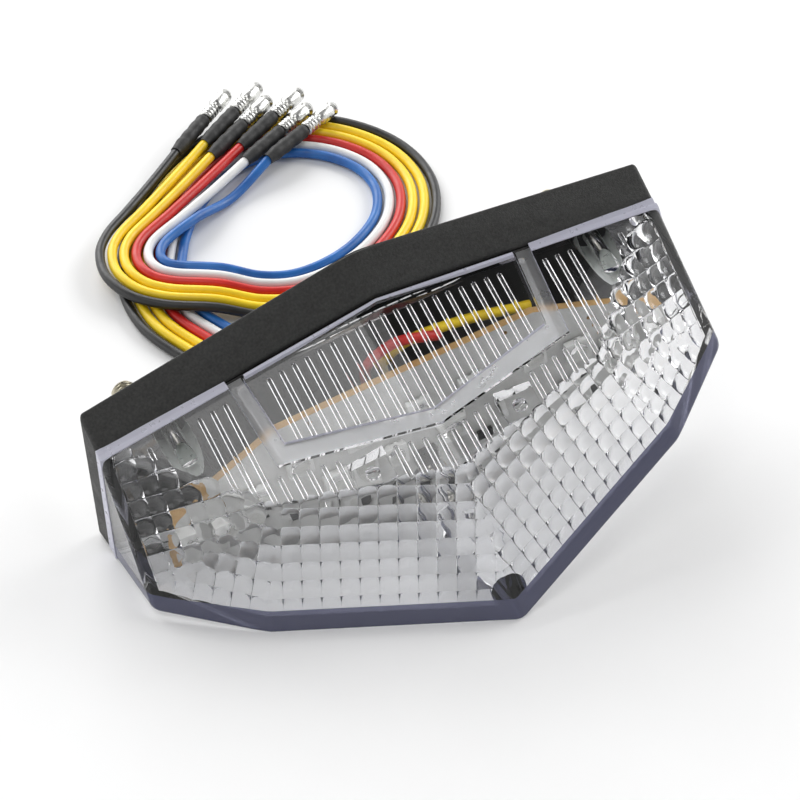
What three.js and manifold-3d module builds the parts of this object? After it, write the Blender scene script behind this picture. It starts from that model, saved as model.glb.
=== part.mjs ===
// Motorcycle tail light with brake, turn and plate lamps: a black housing tray, a clear faceted lens,
// a circuit board with LEDs, two mounting studs and a loose loop of six leads. Millimetres, +Z up.
// The lamp is drawn square in its own axes (x across, y towards the back, z up) and then rolled
// about y, so that the left half of its keel-shaped underside lies flat on the table.
import * as THREE from "three";
import { mergeVertices } from "three/addons/utils/BufferGeometryUtils.js";
import { ConvexGeometry } from "three/addons/geometries/ConvexGeometry.js";
import Module from "manifold-3d";

const wasm = await Module();
wasm.setup();

// ---- driving dimensions ----
const ROLL = THREE.MathUtils.degToRad(10); // slope of the keel-shaped underside
const GAP = 0.3; // clearance kept between neighbouring pieces

const TOP_Z = 23; // housing ridge at the back, on the centre line
const KEEL_Z = -28; // lowest point, on the centre line
const SHOULDER = [57, 13.5]; // upper outer corner of the housing's back: half width, height
const HIP = [60.5, -17]; // lower outer corner
const HIP_IN = 43; // where the flank turns into the keel
const HOUSING_DEPTH = 6.3;
const WALL = 2.4;

const RIM_Z = 16.3; // lens ridge where it meets the housing
const RIM_SHOULDER = [57, 8.7];
const RIM_HIP = [60, -17.1];
const LENS_BACK = -7.2;
const LENS_WALL = 2.4;
const FLOOR_WALL = 1.7; // the lens's underside is thinner
const CREST_Y = -40.4; // crest of the lens where its top and front faces meet, on the centre line
const TEMPLE = [34.1, -29.5]; // corner between the top, front and side faces
const CHEEK = [57.4, -10.3, 3.6]; // rear corner of the side face
const PROW_Y = -54; // foremost point, on the keel
const CHIN = [42.5, -37.3]; // lower corner between the front and side faces
const JAW = [59, -24.5, -16.3]; // outer lower corner of the side face

const FLUTE_PITCH = 2.6;
const FLUTE_RADIUS = 0.5;
const CELL_ROWS = 8;
const CELL_RISE = 0.5;
const CELL_LIFT = 0.13; // keeps the cells' valleys just proud of the wall

const WINDOW_BACK = 28; // plate-light window: half width at the housing
const WINDOW_CORNER = [26.3, -20.5];
const WINDOW_POINT_Y = -28;
const WINDOW_DROP = 0.6; // how far the pane lies below the lens round it
const PAD = [14.7, -31.2]; // square pads under the top face, each with a dimple: x and y
const PAD_HALF = 3.6;
const PAD_DEPTH = 1.3;
const DIMPLE_RADIUS = 1.4;
const CHANNEL_WIDTH = 3.2; // welding channel round the window
const CHANNEL_DEPTH = 0.7;
const BAFFLE_DEPTH = 1.5; // opaque-edged rib under the channel
const BAFFLE_WALL = 1.5;

const SIDE_BOSS = [43, 6.5]; // lens screw bosses: x and z
const SIDE_BOSS_RADIUS = 3.3;
const KEEL_BOSS_Z = -24.2;
const KEEL_BOSS_RADIUS = 3.1;
const PILOT_RADIUS = 1.6;
const PILOT_SPARE = 5; // how far the hole goes on past the screw's tip
const SCREW_RADIUS = 1.3;
const SCREW_HEAD_RADIUS = 3;
const HEAD_DEPTH = 2.2; // counterbore for the screw heads
const SCREW_BOSS_RADIUS = 3.5;

const STUD_X = 45;
const STUD_Z = -3;
const STUD_RADIUS = 2.5; // M5
const STUD_TIP = 17.8;
const STUD_BOSS_RADIUS = 5;
const STUD_BOSS_FRONT = -5.4;

const BOARD_FRONT = -15.8;
const BOARD_THICK = 1.6;
const LED_SIZE = 5; // square surface-mounted LED with a low dome
const LED_BODY = 1.5;
const LED_DOME = [1.9, 0.8];
const POST_X = [14, 36]; // posts that carry the board
const POST_Z = -6.5;
const POST_RADIUS = 1.8;

const LEAD_RADIUS = 1;
const LANE_PITCH = 2.45;
const GROMMET = [-8, -13]; // centre of the wire exit: x and z
const GROMMET_WAIST = [8.7, 2.9]; // half length and half height where it passes the wall
const GROMMET_FLANGE = [10.2, 4.2];
const GROMMET_RECESS = 1.2; // the outer flange lies in a recess, just below the back face
const FLANGE_FACE = -0.1;
const SLEEVE = { radius: 1.6, length: 11 };
const TERMINAL = { radius: 1.7, length: 10 };

// Height of the keel-shaped underside and of the lens's top face.
const keelZ = (x) => KEEL_Z + Math.abs(x) * Math.tan(ROLL);
const TOP_SLOPE_X = (RIM_Z - RIM_SHOULDER[1]) / RIM_SHOULDER[0];
const TOP_SLOPE_Y = 0.4537;
const RIDGE_Y = -6.5; // where the lens ridge is RIM_Z high
const topZ = (x, y) => RIM_Z - TOP_SLOPE_X * Math.abs(x) + TOP_SLOPE_Y * (y - RIDGE_Y);
const CREST = [0, CREST_Y, topZ(0, CREST_Y)];

// ---- helpers ----
function solid(geometry) {
  const g = geometry.clone();
  for (const name of Object.keys(g.attributes)) {
    if (name !== "position") g.deleteAttribute(name);
  }
  const merged = mergeVertices(g, 1e-4);
  const vertProperties = new Float32Array(merged.attributes.position.array);
  const triVerts = new Uint32Array(merged.index.array);
  return new wasm.Manifold(new wasm.Mesh({ numProp: 3, vertProperties, triVerts }));
}

function geometryOf(body) {
  const mesh = body.getMesh();
  const g = new THREE.BufferGeometry();
  g.setAttribute("position", new THREE.BufferAttribute(mesh.vertProperties, 3));
  g.setIndex(new THREE.BufferAttribute(mesh.triVerts, 1));
  const flat = g.toNonIndexed();
  flat.computeVertexNormals();
  return flat;
}

const v3 = (p) => new THREE.Vector3(p[0], p[1], p[2]);
const hull = (points) => solid(new ConvexGeometry(points.map(v3)));
const mirror = (points) => points.concat(points.filter((p) => p[0] !== 0).map((p) => [-p[0], p[1], p[2]]));
const join = (bodies) => bodies.reduce((a, b) => a.add(b));

// A round bar from a to b.
function bar(a, b, radius, sides = 24) {
  const from = v3(a);
  const along = v3(b).sub(from);
  const g = new THREE.CylinderGeometry(radius, radius, along.length(), sides);
  g.translate(0, along.length() / 2, 0);
  g.applyQuaternion(new THREE.Quaternion().setFromUnitVectors(new THREE.Vector3(0, 1, 0), along.normalize()));
  g.translate(from.x, from.y, from.z);
  return g;
}
const barAlongY = (x, z, y0, y1, radius, sides) => bar([x, y0, z], [x, y1, z], radius, sides);

// A plate outlined in x and y, standing from z0 to z1.
function plateXY(outline, z0, z1) {
  const shape = new THREE.Shape(outline.map(([x, y]) => new THREE.Vector2(x, y)));
  const g = new THREE.ExtrudeGeometry(shape, { depth: z1 - z0, bevelEnabled: false });
  return g.translate(0, 0, z0);
}

// A plate outlined in x and z, from y0 at its front to y1 at its back.
function plateXZ(shape, y0, y1) {
  const g = new THREE.ExtrudeGeometry(shape, { depth: y1 - y0, bevelEnabled: false, curveSegments: 6 });
  return g.rotateX(Math.PI / 2).translate(0, y1, 0);
}
const shapeOf = (outline) => new THREE.Shape(outline.map(([x, z]) => new THREE.Vector2(x, z)));

// A turned piece: profile points are [radius, distance along y] from y0.
function turned(x, y0, z, profile, sides = 16) {
  const points = profile.map(([r, d]) => new THREE.Vector2(r, d));
  return new THREE.LatheGeometry(points, sides).translate(x, y0, z);
}

const colours = {
  black: { color: 0x1c1c1b, roughness: 0.75, metalness: 0 },
  rubber: { color: 0x0f0f10, roughness: 0.85, metalness: 0 },
  clear: { color: 0xf2f4f6, roughness: 0.05, metalness: 0, transparent: true, opacity: 0.35 },
  steel: { color: 0xb9b6ae, roughness: 0.35, metalness: 1 },
  tin: { color: 0xd2d2cf, roughness: 0.3, metalness: 1 },
  board: { color: 0xd9d9d6, roughness: 0.5, metalness: 0 },
  led: { color: 0xf4f4ef, roughness: 0.1, metalness: 0 },
  chip: { color: 0x161616, roughness: 0.6, metalness: 0 },
  yellow: { color: 0xf2cc1d, roughness: 0.45, metalness: 0 },
  red: { color: 0xc5201f, roughness: 0.45, metalness: 0 },
  blue: { color: 0x2e6cc4, roughness: 0.45, metalness: 0 },
  white: { color: 0xe9e9ea, roughness: 0.45, metalness: 0 },
};

const lamp = new THREE.Group(); // the lamp, in its own square axes
const loom = new THREE.Group(); // the leads, in table axes
function add(group, name, geometry, colour) {
  const mesh = new THREE.Mesh(geometry, new THREE.MeshStandardMaterial(colours[colour]));
  mesh.name = name;
  group.add(mesh);
  return mesh;
}

// ---- housing ----
const backRing = mirror([
  [0, 0, TOP_Z],
  [SHOULDER[0], 0, SHOULDER[1]],
  [HIP[0], 0, HIP[1]],
  [HIP_IN, 0, keelZ(HIP_IN)],
  [0, 0, KEEL_Z],
]);
const rimRing = mirror([
  [0, -HOUSING_DEPTH, RIM_Z],
  [RIM_SHOULDER[0], -HOUSING_DEPTH, RIM_SHOULDER[1]],
  [RIM_HIP[0], -HOUSING_DEPTH, RIM_HIP[1]],
  [HIP_IN, -HOUSING_DEPTH, keelZ(HIP_IN)],
  [0, -HOUSING_DEPTH, KEEL_Z],
]);

// The same outlines moved in by a distance, and set at a given depth.
function inset(ring, distance, y) {
  return ring.map(([x, , z]) => {
    const side = Math.sign(x) * distance;
    const rise = z > 0 ? -distance * 1.1 : distance * 1.1;
    return [x - side, y, z + rise];
  });
}

const screwAxes = {
  left: [-SIDE_BOSS[0], SIDE_BOSS[1], -10.5],
  right: [SIDE_BOSS[0], SIDE_BOSS[1], -10.5],
  keel: [0, KEEL_BOSS_Z, -22],
};

function housing() {
  let body = hull(backRing.concat(rimRing));
  const cavity = inset(backRing, WALL, -WALL).concat(inset(rimRing, WALL, -HOUSING_DEPTH - 1));
  body = body.subtract(hull(cavity));
  for (const [x, z] of Object.values(screwAxes)) {
    body = body.add(solid(barAlongY(x, z, -1, -HOUSING_DEPTH, SCREW_BOSS_RADIUS)));
  }
  for (const side of [-1, 1]) {
    body = body.add(solid(barAlongY(side * STUD_X, STUD_Z, -1, STUD_BOSS_FRONT, STUD_BOSS_RADIUS)));
    for (const x of POST_X) {
      const postFront = BOARD_FRONT + BOARD_THICK + GAP;
      body = body.add(solid(barAlongY(side * x, POST_Z, -1, postFront, POST_RADIUS, 12)));
    }
  }
  for (const [x, z] of Object.values(screwAxes)) {
    body = body.subtract(solid(barAlongY(x, z, 1, -HEAD_DEPTH, SCREW_HEAD_RADIUS + GAP)));
    body = body.subtract(solid(barAlongY(x, z, 1, -HOUSING_DEPTH - 1, SCREW_RADIUS + GAP, 16)));
  }
  for (const side of [-1, 1]) {
    body = body.subtract(solid(barAlongY(side * STUD_X, STUD_Z, 1, -4, STUD_RADIUS + GAP)));
  }
  const exit = slot(GROMMET, GROMMET_WAIST[0] + GAP, GROMMET_WAIST[1] + GAP);
  const recess = slot(GROMMET, GROMMET_FLANGE[0] + GAP, GROMMET_FLANGE[1] + GAP);
  body = body.subtract(solid(plateXZ(exit, -WALL - 1, 1)));
  body = body.subtract(solid(plateXZ(recess, -GROMMET_RECESS, 1)));
  return geometryOf(body);
}

// A round-ended slot, given its half length and half height.
function slot([x, z], halfLength, halfHeight) {
  const s = new THREE.Shape();
  s.absarc(x + halfLength - halfHeight, z, halfHeight, -Math.PI / 2, Math.PI / 2, false);
  s.absarc(x - halfLength + halfHeight, z, halfHeight, Math.PI / 2, Math.PI * 1.5, false);
  return s;
}

add(lamp, "housing", housing(), "black");

// ---- gasket in the joint between housing and lens ----
function gasket() {
  const outer = hull(inset(rimRing, 0.5, -HOUSING_DEPTH - GAP).concat(inset(rimRing, 0.5, LENS_BACK + GAP)));
  const hole = hull(inset(rimRing, 2, 0).concat(inset(rimRing, 2, -20)));
  return geometryOf(outer.subtract(hole));
}
add(lamp, "lens_gasket", gasket(), "rubber");

// ---- lens ----
const lensOuterPoints = mirror([
  [0, LENS_BACK, topZ(0, LENS_BACK)],
  [RIM_SHOULDER[0], LENS_BACK, topZ(RIM_SHOULDER[0], LENS_BACK)],
  [RIM_HIP[0], LENS_BACK, RIM_HIP[1]],
  [CHIN[0], LENS_BACK, keelZ(CHIN[0])],
  [0, LENS_BACK, KEEL_Z],
  CHEEK,
  [...TEMPLE, topZ(...TEMPLE)],
  CREST,
  JAW,
  [...CHIN, keelZ(CHIN[0])],
  [0, PROW_Y, KEEL_Z],
]);
const templeIn = [TEMPLE[0] - 0.9, TEMPLE[1] + 1.2, topZ(TEMPLE[0], TEMPLE[1] + 1.2) - LENS_WALL];
const crestIn = [0, CREST[1] + 1.7, topZ(0, CREST[1] + 1.7) - LENS_WALL];
const jawIn = [JAW[0] - 3, JAW[1] + 2.4, JAW[2] + FLOOR_WALL];
const chinIn = [CHIN[0] - 1.4, CHIN[1] + 2.6, keelZ(CHIN[0]) + FLOOR_WALL];
const prowIn = [0, PROW_Y + 3.1, KEEL_Z + FLOOR_WALL];
const cheekIn = [CHEEK[0] - 2.8, CHEEK[1] + 0.7, CHEEK[2] - 2];
const SHOULDER_IN_X = RIM_SHOULDER[0] - LENS_WALL;
const shoulderIn = [SHOULDER_IN_X, LENS_BACK + 1, topZ(SHOULDER_IN_X, LENS_BACK + 1) - LENS_WALL];
const lensInnerPoints = mirror([
  [0, LENS_BACK + 1, topZ(0, LENS_BACK + 1) - LENS_WALL],
  shoulderIn,
  [RIM_HIP[0] - LENS_WALL, LENS_BACK + 1, RIM_HIP[1] + FLOOR_WALL],
  [CHIN[0], LENS_BACK + 1, keelZ(CHIN[0]) + FLOOR_WALL],
  [0, LENS_BACK + 1, KEEL_Z + FLOOR_WALL],
  templeIn,
  crestIn,
  jawIn,
  chinIn,
  prowIn,
  cheekIn,
]);

// The front edge of the top face at a given x.
function brow(x) {
  const a = Math.abs(x);
  if (a < TEMPLE[0]) return CREST[1] + ((TEMPLE[1] - CREST[1]) * a) / TEMPLE[0];
  return TEMPLE[1] + ((CHEEK[1] - TEMPLE[1]) * (a - TEMPLE[0])) / (CHEEK[0] - TEMPLE[0]);
}

// Outline of the window, or of a line a given distance outside it.
function windowOutline(out) {
  const [cx, cy] = WINDOW_CORNER;
  return [
    [-WINDOW_BACK - out, -4],
    [-cx - out, cy - out],
    [0, WINDOW_POINT_Y - out],
    [cx + out, cy - out],
    [WINDOW_BACK + out, -4],
  ];
}
function windowFront(x, out) {
  const [cx, cy] = WINDOW_CORNER;
  const a = Math.abs(x);
  return WINDOW_POINT_Y - out + ((cy - WINDOW_POINT_Y) * a) / (cx + out);
}

// A rib on the underside of the top wall.
function flute(x, y0, y1) {
  const [z0, z1] = [y0, y1].map((y) => topZ(x, y) - LENS_WALL - 0.05);
  return solid(bar([x, y0, z0], [x, y1, z1], FLUTE_RADIUS, 6));
}
const fluteRows = Array.from({ length: 21 }, (_, i) => i + 0.5);

function lensFlutes() {
  const bars = [];
  for (const row of fluteRows) {
    const x = row * FLUTE_PITCH;
    const front = brow(x) + 2.3;
    const besideBoss = Math.abs(x - SIDE_BOSS[0]) < 4;
    const underPad = Math.abs(x - PAD[0]) < PAD_HALF + 0.6;
    let back = LENS_BACK - 1.8;
    if (x < WINDOW_BACK + CHANNEL_WIDTH + 0.8) back = windowFront(x, CHANNEL_WIDTH) - 1;
    if (besideBoss) back = -21;
    if (underPad) back = -35;
    if (back - front < 2) continue;
    for (const side of [-1, 1]) bars.push(flute(side * x, back, front));
  }
  return join(bars);
}

// A sheet of raised cells laid over the four-sided face p00, p10, p11, p01.
function cellSheet(p00, p10, p11, p01, columns, rows) {
  const normal = v3(p10).sub(v3(p00)).cross(v3(p01).sub(v3(p00))).normalize();
  const at = (u, v) => {
    const low = v3(p00).lerp(v3(p10), u);
    const high = v3(p01).lerp(v3(p11), u);
    return low.lerp(high, v).addScaledVector(normal, CELL_LIFT);
  };
  const points = [];
  const corner = (i, j) => at(i / columns, j / rows);
  const push = (...corners) => corners.forEach((c) => points.push(c.x, c.y, c.z));
  const under = (p) => p.clone().addScaledVector(normal, -0.8);
  for (let i = 0; i < columns; i++) {
    for (let j = 0; j < rows; j++) {
      const ring = [corner(i, j), corner(i + 1, j), corner(i + 1, j + 1), corner(i, j + 1)];
      const peak = at((i + 0.5) / columns, (j + 0.5) / rows).addScaledVector(normal, CELL_RISE);
      ring.forEach((p, k) => push(p, ring[(k + 1) % 4], peak));
      const [a, b, c, d] = ring.map(under);
      push(a, c, b);
      push(a, d, c);
    }
  }
  const wall = (a, b) => {
    push(b, a, under(a));
    push(b, under(a), under(b));
  };
  for (let i = 0; i < columns; i++) {
    wall(corner(i, 0), corner(i + 1, 0));
    wall(corner(i + 1, rows), corner(i, rows));
  }
  for (let j = 0; j < rows; j++) {
    wall(corner(columns, j), corner(columns, j + 1));
    wall(corner(0, j + 1), corner(0, j));
  }
  const g = new THREE.BufferGeometry();
  g.setAttribute("position", new THREE.Float32BufferAttribute(points, 3));
  return solid(g);
}

const flip = ([x, y, z]) => [-x, y, z];

// The sheets lie on the inside of the front and side walls and face inwards.
function lensCells() {
  return join([
    cellSheet(chinIn, prowIn, crestIn, templeIn, 9, CELL_ROWS),
    cellSheet(prowIn, flip(chinIn), flip(templeIn), crestIn, 9, CELL_ROWS),
    cellSheet(jawIn, chinIn, templeIn, cheekIn, 6, CELL_ROWS),
    cellSheet(flip(chinIn), flip(jawIn), flip(cheekIn), flip(templeIn), 6, CELL_ROWS),
  ]);
}

const lensOuter = hull(lensOuterPoints);
const lensInner = hull(lensInnerPoints);
const windowColumn = (out) => solid(plateXY(windowOutline(out), -1, 30));

// The hollow in the lens, less everything moulded on the inside of its walls.
function lensHollow() {
  let hollow = lensInner.subtract(lensCells()).subtract(lensFlutes());
  const corners = [[-1, -1], [1, -1], [1, 1], [-1, 1]];
  for (const side of [-1, 1]) {
    const x = side * PAD[0];
    const z = topZ(x, PAD[1]) - LENS_WALL;
    const square = corners.map(([a, b]) => [x + a * PAD_HALF, PAD[1] + b * PAD_HALF * 0.8]);
    const pad = solid(plateXY(square, z - PAD_DEPTH, z + 3));
    const dimple = solid(bar([x, PAD[1], z - PAD_DEPTH - 1], [x, PAD[1], z - 0.4], DIMPLE_RADIUS, 12));
    hollow = hollow.subtract(pad.subtract(dimple));
    const boss = barAlongY(side * SIDE_BOSS[0], SIDE_BOSS[1], LENS_BACK, -22, SIDE_BOSS_RADIUS);
    hollow = hollow.subtract(solid(boss));
  }
  return hollow.subtract(solid(barAlongY(0, KEEL_BOSS_Z, LENS_BACK, PROW_Y + 3, KEEL_BOSS_RADIUS)));
}

function lens() {
  let body = lensOuter.subtract(lensHollow());
  const skin = lensOuter.subtract(lensOuter.translate([0, 0, -CHANNEL_DEPTH]));
  const lining = lensInner.translate([0, 0, 1]).subtract(lensInner.translate([0, 0, -BAFFLE_DEPTH]));
  const baffle = windowColumn(BAFFLE_WALL).subtract(windowColumn(GAP));
  body = body.subtract(skin.intersect(windowColumn(CHANNEL_WIDTH)));
  body = body.add(lining.intersect(lensOuter).intersect(baffle));
  for (const [x, z, end] of Object.values(screwAxes)) {
    body = body.subtract(solid(barAlongY(x, z, LENS_BACK + 1, end - PILOT_SPARE, PILOT_RADIUS, 16)));
  }
  body = body.subtract(windowColumn(GAP));
  const largest = body.decompose().sort((a, b) => b.volume() - a.volume())[0];
  return geometryOf(largest);
}
add(lamp, "lens", lens(), "clear");

// ---- plate-light window ----
function plateWindow() {
  const bars = [];
  for (const row of fluteRows) {
    const x = row * FLUTE_PITCH - FLUTE_PITCH / 2;
    if (x > WINDOW_CORNER[0] - 1) continue;
    const sides = x === 0 ? [1] : [-1, 1];
    for (const side of sides) bars.push(flute(side * x, LENS_BACK - 1.6, windowFront(x, 0) + 1.2));
  }
  const pane = lensOuter.translate([0, 0, -WINDOW_DROP]).subtract(lensInner);
  const body = pane.intersect(windowColumn(0)).add(join(bars));
  return geometryOf(body);
}
add(lamp, "plate_light_window", plateWindow(), "clear");

// ---- circuit board and what is on it ----
function board() {
  const right = [
    [26, 4.3],
    [41.5, -2.5],
    [50, -7.3],
    [50, -15.5],
    [42, keelZ(42) + LENS_WALL + 0.8],
  ];
  const foot = [0, KEEL_Z + LENS_WALL + 0.8];
  const left = right.map(([x, z]) => [-x, z]).reverse();
  const outline = shapeOf([...right, foot, ...left]);
  const plate = solid(plateXZ(outline, BOARD_FRONT, BOARD_FRONT + BOARD_THICK));
  const notch = barAlongY(0, KEEL_BOSS_Z, 0, -20, KEEL_BOSS_RADIUS + 0.6);
  return geometryOf(plate.subtract(solid(notch)));
}
add(lamp, "circuit_board", board(), "board");

// A surface-mounted LED on the board's front face.
function led(x, z) {
  const base = BOARD_FRONT - GAP;
  const body = new THREE.BoxGeometry(LED_SIZE, LED_BODY, LED_SIZE).translate(x, base - LED_BODY / 2, z);
  const [radius, height] = LED_DOME;
  const profile = [[0, 0.5], [radius, 0.5], [radius, -height / 2], [radius * 0.6, -height], [0, -height]];
  const dome = turned(x, base - LED_BODY, z, profile.reverse(), 12);
  return geometryOf(solid(body).add(solid(dome)));
}
const upperRow = [-24, -12, 0, 12, 24].map((x) => [x, -5.5]);
const lowerRow = [-18, -6, 6, 18].map((x) => [x, -14]);
const brakeLeds = [...upperRow, ...lowerRow];
brakeLeds.forEach(([x, z], i) => add(lamp, `brake_led_${i + 1}`, led(x, z), "led"));
const turnLeds = [[33, -9], [40, -12], [46.6, -11]];
for (const [name, side] of [["left", -1], ["right", 1]]) {
  turnLeds.forEach(([x, z], i) => add(lamp, `turn_led_${name}_${i + 1}`, led(side * x, z), "led"));
}

// Flat parts between the LEDs: resistors and the flasher chip.
function boardBlock(x, z, width, height, thick) {
  const y = BOARD_FRONT - GAP - thick / 2;
  return new THREE.BoxGeometry(width, thick, height).translate(x, y, z);
}
const resistors = [[-12, -19.5], [12, -19.5], [-30, -17], [30, -17]];
resistors.forEach(([x, z], i) => add(lamp, `resistor_${i + 1}`, boardBlock(x, z, 4, 2, 0.8), "chip"));
add(lamp, "driver_chip", boardBlock(0, -18, 5, 3.6, 1.6), "chip");

// ---- screws that hold the lens, driven from the back ----
function screw([x, z, end]) {
  const headTop = -0.2;
  const neck = -HEAD_DEPTH + GAP - headTop;
  const head = [[0, 0], [SCREW_HEAD_RADIUS - 0.6, 0], [SCREW_HEAD_RADIUS, -0.6], [SCREW_HEAD_RADIUS, neck]];
  const shank = [[SCREW_RADIUS, neck], [SCREW_RADIUS, end - headTop + 1.5], [0, end - headTop]];
  const profile = [...head, ...shank];
  const body = solid(turned(x, headTop, z, profile.reverse(), 16));
  const slotA = new THREE.BoxGeometry(3.4, 1.6, 0.8).translate(x, headTop, z);
  const slotB = new THREE.BoxGeometry(0.8, 1.6, 3.4).translate(x, headTop, z);
  return geometryOf(body.subtract(solid(slotA)).subtract(solid(slotB)));
}
for (const [name, axis] of Object.entries(screwAxes)) add(lamp, `lens_screw_${name}`, screw(axis), "steel");

// ---- mounting studs: turned grooves stand for the M5 thread ----
function stud(x) {
  const pitch = 1.2;
  const start = -3.7;
  const threadStart = 2;
  const profile = [[0, 0], [STUD_RADIUS, 0], [STUD_RADIUS, threadStart - start]];
  const turns = Math.floor((STUD_TIP - threadStart - 0.8) / pitch);
  for (let i = 0; i < turns; i++) {
    const d = threadStart - start + i * pitch;
    profile.push([STUD_RADIUS - 0.4, d + pitch / 2], [STUD_RADIUS, d + pitch]);
  }
  profile.push([STUD_RADIUS - 0.6, STUD_TIP - start], [0, STUD_TIP - start]);
  return turned(x, start, STUD_Z, profile, 12);
}
add(lamp, "mounting_stud_left", stud(-STUD_X), "steel");
add(lamp, "mounting_stud_right", stud(STUD_X), "steel");

// ---- grommet where the leads leave the back ----
const laneOffsets = Array.from({ length: 6 }, (_, i) => (2.5 - i) * LANE_PITCH);
function grommet() {
  const waist = slot(GROMMET, ...GROMMET_WAIST);
  const flange = slot(GROMMET, ...GROMMET_FLANGE);
  const inside = -WALL - GAP;
  const waistPlate = solid(plateXZ(waist, inside - 0.5, FLANGE_FACE - 0.4));
  const outerFlange = solid(plateXZ(flange, GAP - GROMMET_RECESS, FLANGE_FACE));
  const innerFlange = solid(plateXZ(flange, inside - 1.2, inside));
  return geometryOf(join([waistPlate, outerFlange, innerFlange]));
}
add(lamp, "wire_grommet", grommet(), "rubber");

// A round lead along a path.
function tube(path, steps, radius = LEAD_RADIUS) {
  const ring = new THREE.Shape();
  for (let i = 0; i < 8; i++) {
    const a = (Math.PI * 2 * i) / 8;
    const p = [radius * Math.cos(a), radius * Math.sin(a)];
    if (i === 0) ring.moveTo(...p);
    else ring.lineTo(...p);
  }
  return new THREE.ExtrudeGeometry(ring, { steps, extrudePath: path, bevelEnabled: false });
}

// Two short leads inside the lamp, from the grommet up behind the board.
const innerRoutes = {
  yellow: [[-2, -6.4, -8], [-2.4, -8.4, 1], [3.5, -9.4, 4.6], [14, -10, 4.2], [27.5, -10.6, 1]],
  red: [[-6, -6.4, -8], [-5.6, -9.4, 3], [0.4, -11.8, 8], [9, -12, 5.4]],
};
for (const [colour, route] of Object.entries(innerRoutes)) {
  const path = new THREE.CatmullRomCurve3(route.map(v3));
  add(lamp, `inner_lead_${colour}`, tube(path, 10), colour);
}

// ---- the lamp's place on the table ----
// The lamp's own box, without the leads, is centred on the origin and stands on z = 0.
const PLACE = new THREE.Vector3(-2.03, 18.1, -KEEL_Z * Math.cos(ROLL));
lamp.rotation.y = -ROLL;
lamp.position.copy(PLACE);

// ---- the loom: six leads side by side, each in its own lane ----
// Route of the loom's middle, chosen by hand: out of the grommet, down to the table, once round
// clockwise, over itself and back up to the ends.
const lift = LEAD_RADIUS + 0.2;
const over = lift + 2 * LEAD_RADIUS + 0.35;
const exitPoint = v3([GROMMET[0], FLANGE_FACE + GAP, GROMMET[1]]);
exitPoint.applyAxisAngle(new THREE.Vector3(0, 1, 0), -ROLL).add(PLACE);
const loomRoute = [
  [-8, 24.5, 13.9],
  [-9, 31, 10.6],
  [-11, 37.5, 6.4],
  [-13.5, 44, 3],
  [-17, 51, 1.6],
  [-20.5, 58, lift],
  [-24, 68, lift],
  [-23.5, 78, lift],
  [-19.5, 88, lift],
  [-13, 98, lift],
  [-3.5, 107, lift],
  [7, 112.5, lift],
  [19, 112.5, lift],
  [29, 107, lift],
  [35.5, 97.5, lift],
  [36.5, 87, lift],
  [32, 76.5, lift],
  [23, 68.5, lift],
  [13, 64.3, lift],
  [3, 63.5, lift],
  [-5, 65.6, lift + 0.6],
  [-12.5, 69.5, over],
  [-21, 74.5, over],
  [-24.2, 77.9, over],
  [-25.6, 82.5, over],
  [-24.7, 87.1, over],
  [-22, 90.8, over],
];
// From there each lead runs straight to its own end, sagging to the table where it can.
const endZ = lift + LEAD_RADIUS + GAP + SLEEVE.radius;
const leads = [
  { name: "black", colour: "rubber", end: [-3, 113.9], sag: over },
  { name: "yellow_left", colour: "yellow", end: [3.5, 114], sag: over },
  { name: "yellow_right", colour: "yellow", end: [3.2, 109.5], sag: over },
  { name: "red", colour: "red", end: [10, 109.7], sag: over },
  { name: "white", colour: "white", end: [9.1, 104.8], sag: over },
  { name: "blue", colour: "blue", end: [13.6, 103.3], sag: lift + 0.2 },
];

function leadPath(lane, lead) {
  const middle = [exitPoint.toArray(), ...loomRoute].map(v3);
  const points = middle.map((p, i) => {
    const back = middle[Math.max(i - 1, 0)];
    const next = middle[Math.min(i + 1, middle.length - 1)];
    const side = new THREE.Vector3(back.y - next.y, next.x - back.x, 0);
    if (i === 0) side.set(-1, 0, 0);
    return p.clone().addScaledVector(side.normalize(), lane);
  });
  const start = points[points.length - 1];
  const end = v3([...lead.end, endZ]);
  points.push(start.clone().lerp(end, 0.28).setZ(over), start.clone().lerp(end, 0.62).setZ(lead.sag), end);
  return new THREE.CatmullRomCurve3(points, false, "centripetal");
}

leads.forEach((lead, i) => {
  const path = leadPath(laneOffsets[i], lead);
  add(loom, `lead_${lead.name}`, tube(path, 76), lead.colour);
  const end = path.getPoint(1);
  const heading = path.getTangent(1).setZ(0).normalize();
  const along = (d) => end.clone().addScaledVector(heading, d).toArray();
  add(loom, `sleeve_${lead.name}`, bar(along(GAP), along(GAP + SLEEVE.length), SLEEVE.radius, 12), "rubber");
  const start = 2 * GAP + SLEEVE.length;
  const bullet = bar(along(start), along(start + TERMINAL.length), TERMINAL.radius, 12);
  add(loom, `terminal_${lead.name}`, bullet, "tin");
});

const group = new THREE.Group();
group.add(lamp, loom);
export default group;
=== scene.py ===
"""A motorcycle tail light on a pale table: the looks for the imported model.

The lamp's pieces are drawn in the lamp's own square axes, in millimetres (x across, y towards the
back, z up), and LAMP sets them in the frame. Cords are laid in the frame's axes, in millimetres. Camera,
lights and floor are in the frame, in metres.
"""
import math

import bmesh
import bpy
from mathutils import Matrix, Vector


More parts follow.
